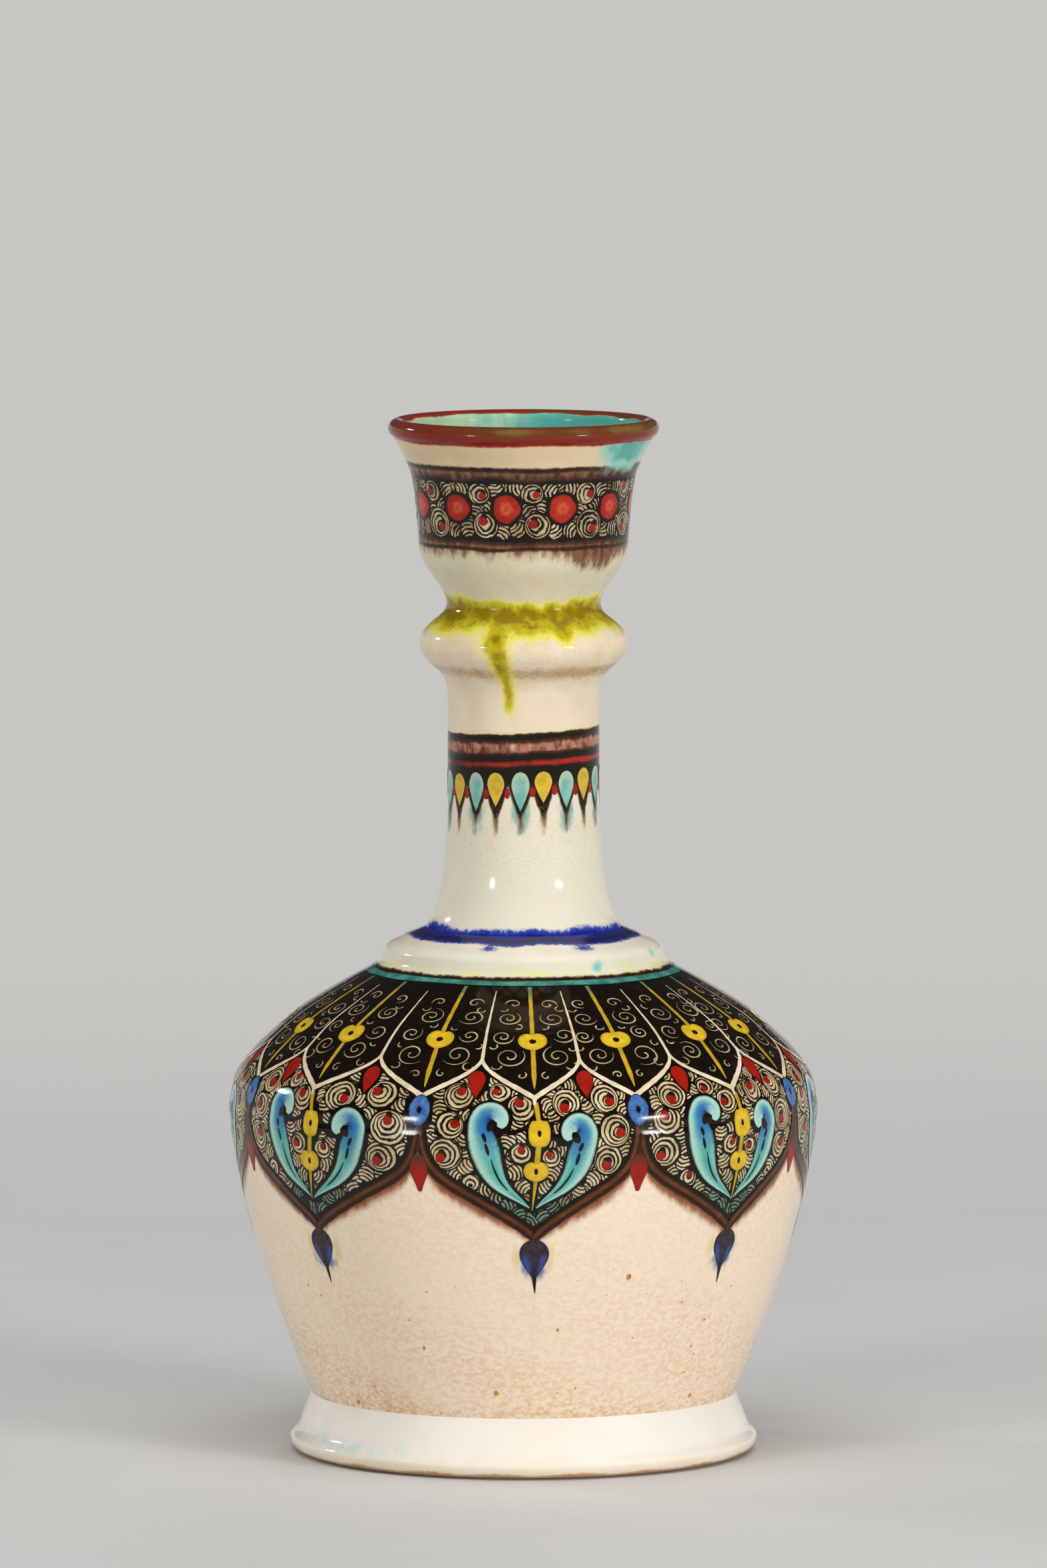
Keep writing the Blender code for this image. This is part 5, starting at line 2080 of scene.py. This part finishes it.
def glazes() -> list[Glaze]:
    """The sections' finishes.

    Returns:
        The finishes, from the mouth down.
    """
    ink = Stain("ink", INK, (0.05, 0.017, 0.007), 0.5, 600.0)
    brown = Stain("brown", (0.052, 0.014, 0.004), (0.27, 0.095, 0.04), 0.28)
    olive = Stain("olive", (0.24, 0.165, 0.004), (0.45, 0.36, 0.008), 0.6, 700.0, 1.8)
    lime = Stain("lime", (0.56, 0.52, 0.01), (0.68, 0.61, 0.12), 0.5, 300.0, 1.2)
    rust = Stain("rust", (0.34, 0.18, 0.07), (0.52, 0.36, 0.2), 0.5, 900.0, 1.2)
    blue = Stain("blue", (0.008, 0.014, 0.18), (0.022, 0.05, 0.31), 0.6, 900.0)
    purple = Stain("purple", (0.01, 0.009, 0.055), (0.014, 0.016, 0.12), 0.5, 700.0)
    aqua = Stain("aqua", (0.085, 0.34, 0.29), (0.26, 0.52, 0.44), 0.7, 260.0, 1.0)
    cool = Stain("cool", (0.58, 0.55, 0.43), (0.64, 0.61, 0.49), 0.4, 120.0)
    cup = (
        Stain("cool", (0.52, 0.485, 0.355), (0.6, 0.54, 0.39), 0.5, 160.0, 1.0), lime, olive,
        Stain("brown", (0.03, 0.011, 0.006), (0.19, 0.08, 0.042), 0.45, 700.0), ink, aqua,
        Stain("green", (0.3, 0.42, 0.22), (0.34, 0.5, 0.34), 0.5, 200.0),
        Stain("lip", (0.2, 0.012, 0.006), (0.32, 0.03, 0.012), 0.5, 380.0),
        Stain("wear", (0.17, 0.092, 0.024), (0.12, 0.034, 0.012), 0.2, 900.0, 0.3),
    )
    neck = (
        cool, rust, lime, olive,
        Stain("teal", (0.05, 0.2, 0.17), (0.21, 0.4, 0.35), 0.7, 700.0),
        Stain("umber", (0.025, 0.016, 0.01), (0.26, 0.19, 0.11), 0.7, 700.0),
        Stain("pink", (0.1, 0.024, 0.01), (0.38, 0.155, 0.095), 0.6, 900.0, 1.3), ink,
        Stain("red", (0.34, 0.016, 0.006), (0.1, 0.01, 0.006), 0.6, 400.0), blue,
    )
    belly = (
        Stain("lime", (0.62, 0.5, 0.2), (0.66, 0.54, 0.27), 0.3),
        Stain("blue", (0.02, 0.03, 0.12), (0.16, 0.18, 0.32), 0.8), brown, ink,
    )
    foot = (
        Stain("warm", (0.72, 0.6, 0.43), (0.78, 0.68, 0.54), 0.3, 120.0),
        Stain("aqua", (0.4, 0.6, 0.54), (0.58, 0.68, 0.62), 0.8, 300.0),
        Stain("bare", (0.46, 0.26, 0.12), (0.58, 0.38, 0.22), 0.5, 700.0),
    )
    specks, dirt = (0.3, 0.14, 0.05), (0.26, 0.16, 0.08)
    cream, buff = (0.71, 0.6, 0.45), (0.66, 0.5, 0.32)
    return [
        Glaze("cup_glaze", (0.64, 0.51, 0.32), (0.54, 0.41, 0.24), dirt, 0.5, 0.6, cup, 60.0, 1.0, 1400.0, 0.65),
        Glaze("knop_glaze", cream, buff, dirt, 0.35, 0.6, (rust, lime, olive), 120.0, 1.0, 1400.0, 0.65),
        Glaze("neck_glaze", cream, buff, (0.52, 0.29, 0.13), 0.35, 0.75, neck, 120.0, 1.0, 1500.0, 0.59),
        Glaze(
            "collar_glaze", (0.76, 0.68, 0.57), (0.68, 0.55, 0.42), specks, 0.4, 0.25,
            (cool, lime, aqua, blue, purple, ink),
        ),
        Glaze(
            "shoulder_glaze", (0.7, 0.56, 0.38), (0.6, 0.45, 0.28), specks, 0.6, 0.2, (ink,), roughness=0.09,
            relief=0.02,
        ),
        Glaze(
            "belly_glaze", (0.78, 0.645, 0.5), (0.67, 0.43, 0.24), (0.52, 0.28, 0.12), 0.1, 0.5, belly, 560.0, 1.5,
            1300.0, 0.62, 0.1, 0.09,
        ),
        Glaze("foot_glaze", (0.8, 0.75, 0.68), (0.76, 0.68, 0.58), specks, 0.5, 0.15, foot),
    ]


def sections(pot: Vessel) -> list[Section]:
    """The seven sections, with their hidden inner outlines.

    Args:
        pot: The shared sizes.

    Returns:
        The sections, from the mouth down.
    """
    upper, collar, body, foot = pot.lines()
    knop_at, cup_at, girth_at = upper.reach(pot.knop_seam), upper.reach(pot.cup_seam), body.reach(pot.girth_seam)
    bore, root_bore = pot.groove - pot.neck_wall, pot.neck_root - pot.opening_wall
    throat, foot_bore = pot.collar_foot - pot.opening_wall, pot.waist - pot.foot_wall
    seams = (
        (pot.groove, pot.neck_wall, pot.cup_seam), (pot.groove, pot.neck_wall, pot.knop_seam),
        (pot.neck_root, pot.opening_wall, pot.neck_seam), (pot.collar_foot, pot.opening_wall, pot.collar_seam),
        (pot.girth, pot.wall, pot.girth_seam),
    )
    sockets, spigots = zip(*(pot.seam_ends(*seam) for seam in seams))
    cup_in = [(bore, 0.05), (bore + 2.6, 0.115), (bore + 6.7, 0.235), (pot.cup - 4.2, 0.37)]
    cup_in += [(pot.cup - 2.9, 0.62), (pot.lip - 6.7, 0.86), (pot.lip - 5.5, 0.935)]
    cup_in = flowing([(radius, part_way((pot.cup_seam, pot.rim), up)) for radius, up in cup_in], 1.2).tolist()
    bead = [(0.1, 0.0), (0.28, 0.5), (0.5, 1.0), (0.7, 0.5), (0.82, 0.0)]
    knop_in = between(bore, pot.knop - 6.0, pot.knop_seam, pot.cup_seam, bead)
    root = [(0.03, 1.0), (0.16, 0.3), (0.34, 0.0), (0.66, 0.0)]
    neck_in = between(bore, root_bore, pot.neck_seam, pot.knop_seam, root)
    collar_in = between(root_bore, throat, pot.collar_seam, pot.neck_seam, [(0.05, 1.0), (0.42, 0.35)])
    collar_in += [(root_bore, pot.neck_seam - pot.socket - 0.1 * (pot.neck_seam - pot.collar_seam))]
    vault = [(0.2, 0.962), (0.4, 0.85), (0.62, 0.66), (0.82, 0.4), (1.0, 0.0)]
    vault_low, vault_top = pot.girth_seam + pot.film, pot.collar_seam - pot.socket - 0.5 * pot.wall
    dome_in = between(throat, pot.girth - pot.wall, vault_low, vault_top, vault)
    boss, under, floor = foot_bore - pot.film, pot.foot_seam - 2.2, pot.foot_seam + pot.film + 4.5
    belly_in = [(boss, pot.foot_seam + pot.film), (boss, under), (0.0, under)]
    belly_in += [(0.0, floor), (0.86 * boss, floor), (boss, floor + 3.4)]
    belly_in += (body.profile(np.linspace(120.0, girth_at + 8.0, 8)) - [pot.wall, 0.0]).tolist()
    edge = pot.foot - pot.foot_inset - 5.7
    foot_in = [(edge, 0.0), (edge - 0.7, 1.0), (edge - 2.7, 5.8), (foot_bore, 12.2), (foot_bore, pot.foot_seam)]
    rows = (
        (MouthCup, upper, (0.0, cup_at), spigots[0] + cup_in, 0.5),
        (NeckKnop, upper, (cup_at, knop_at), spigots[1] + knop_in + sockets[0], 0.5),
        (NeckTube, upper, (knop_at, upper.length[-1]), spigots[2] + neck_in + sockets[1], 0.45),
        (NeckCollar, collar, (0.0, collar.length[-1]), spigots[3] + collar_in + sockets[2], 0.4),
        (ShoulderDome, body, (0.0, girth_at), spigots[4] + dome_in + sockets[3], 0.6),
        (BellyBowl, body, (girth_at, body.length[-1]), belly_in + sockets[4], 0.6),
        (FootRing, foot, (0.0, foot.length[-1]), foot_in, 0.5),
    )
    return [
        kind(node, line, ends, rest, glaze, step)
        for node, (kind, line, ends, rest, step), glaze in zip(NODES[::-1], rows, glazes())
    ]


def main() -> None:
    """Load the frame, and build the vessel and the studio."""
    logging.basicConfig(level=logging.INFO, format="%(message)s")
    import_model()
    vessel = Vessel.from_frame()
    pieces = [section.build() for section in sections(vessel)]
    upper, _, body, _ = vessel.lines()
    for work in (ShoulderTongues(body), Lappets(body), CupBand(upper), NeckDrops(upper), IronPits(body)):
        pieces += work.build()
    for piece in pieces:
        LOG.info("%s: %d faces", piece.name, len(piece.data.polygons))
    studio = Studio()
    studio.floor()
    studio.light()
    studio.camera()
    bpy.context.scene.view_settings.view_transform = "Standard"


if __name__ == "__main__":
    main()
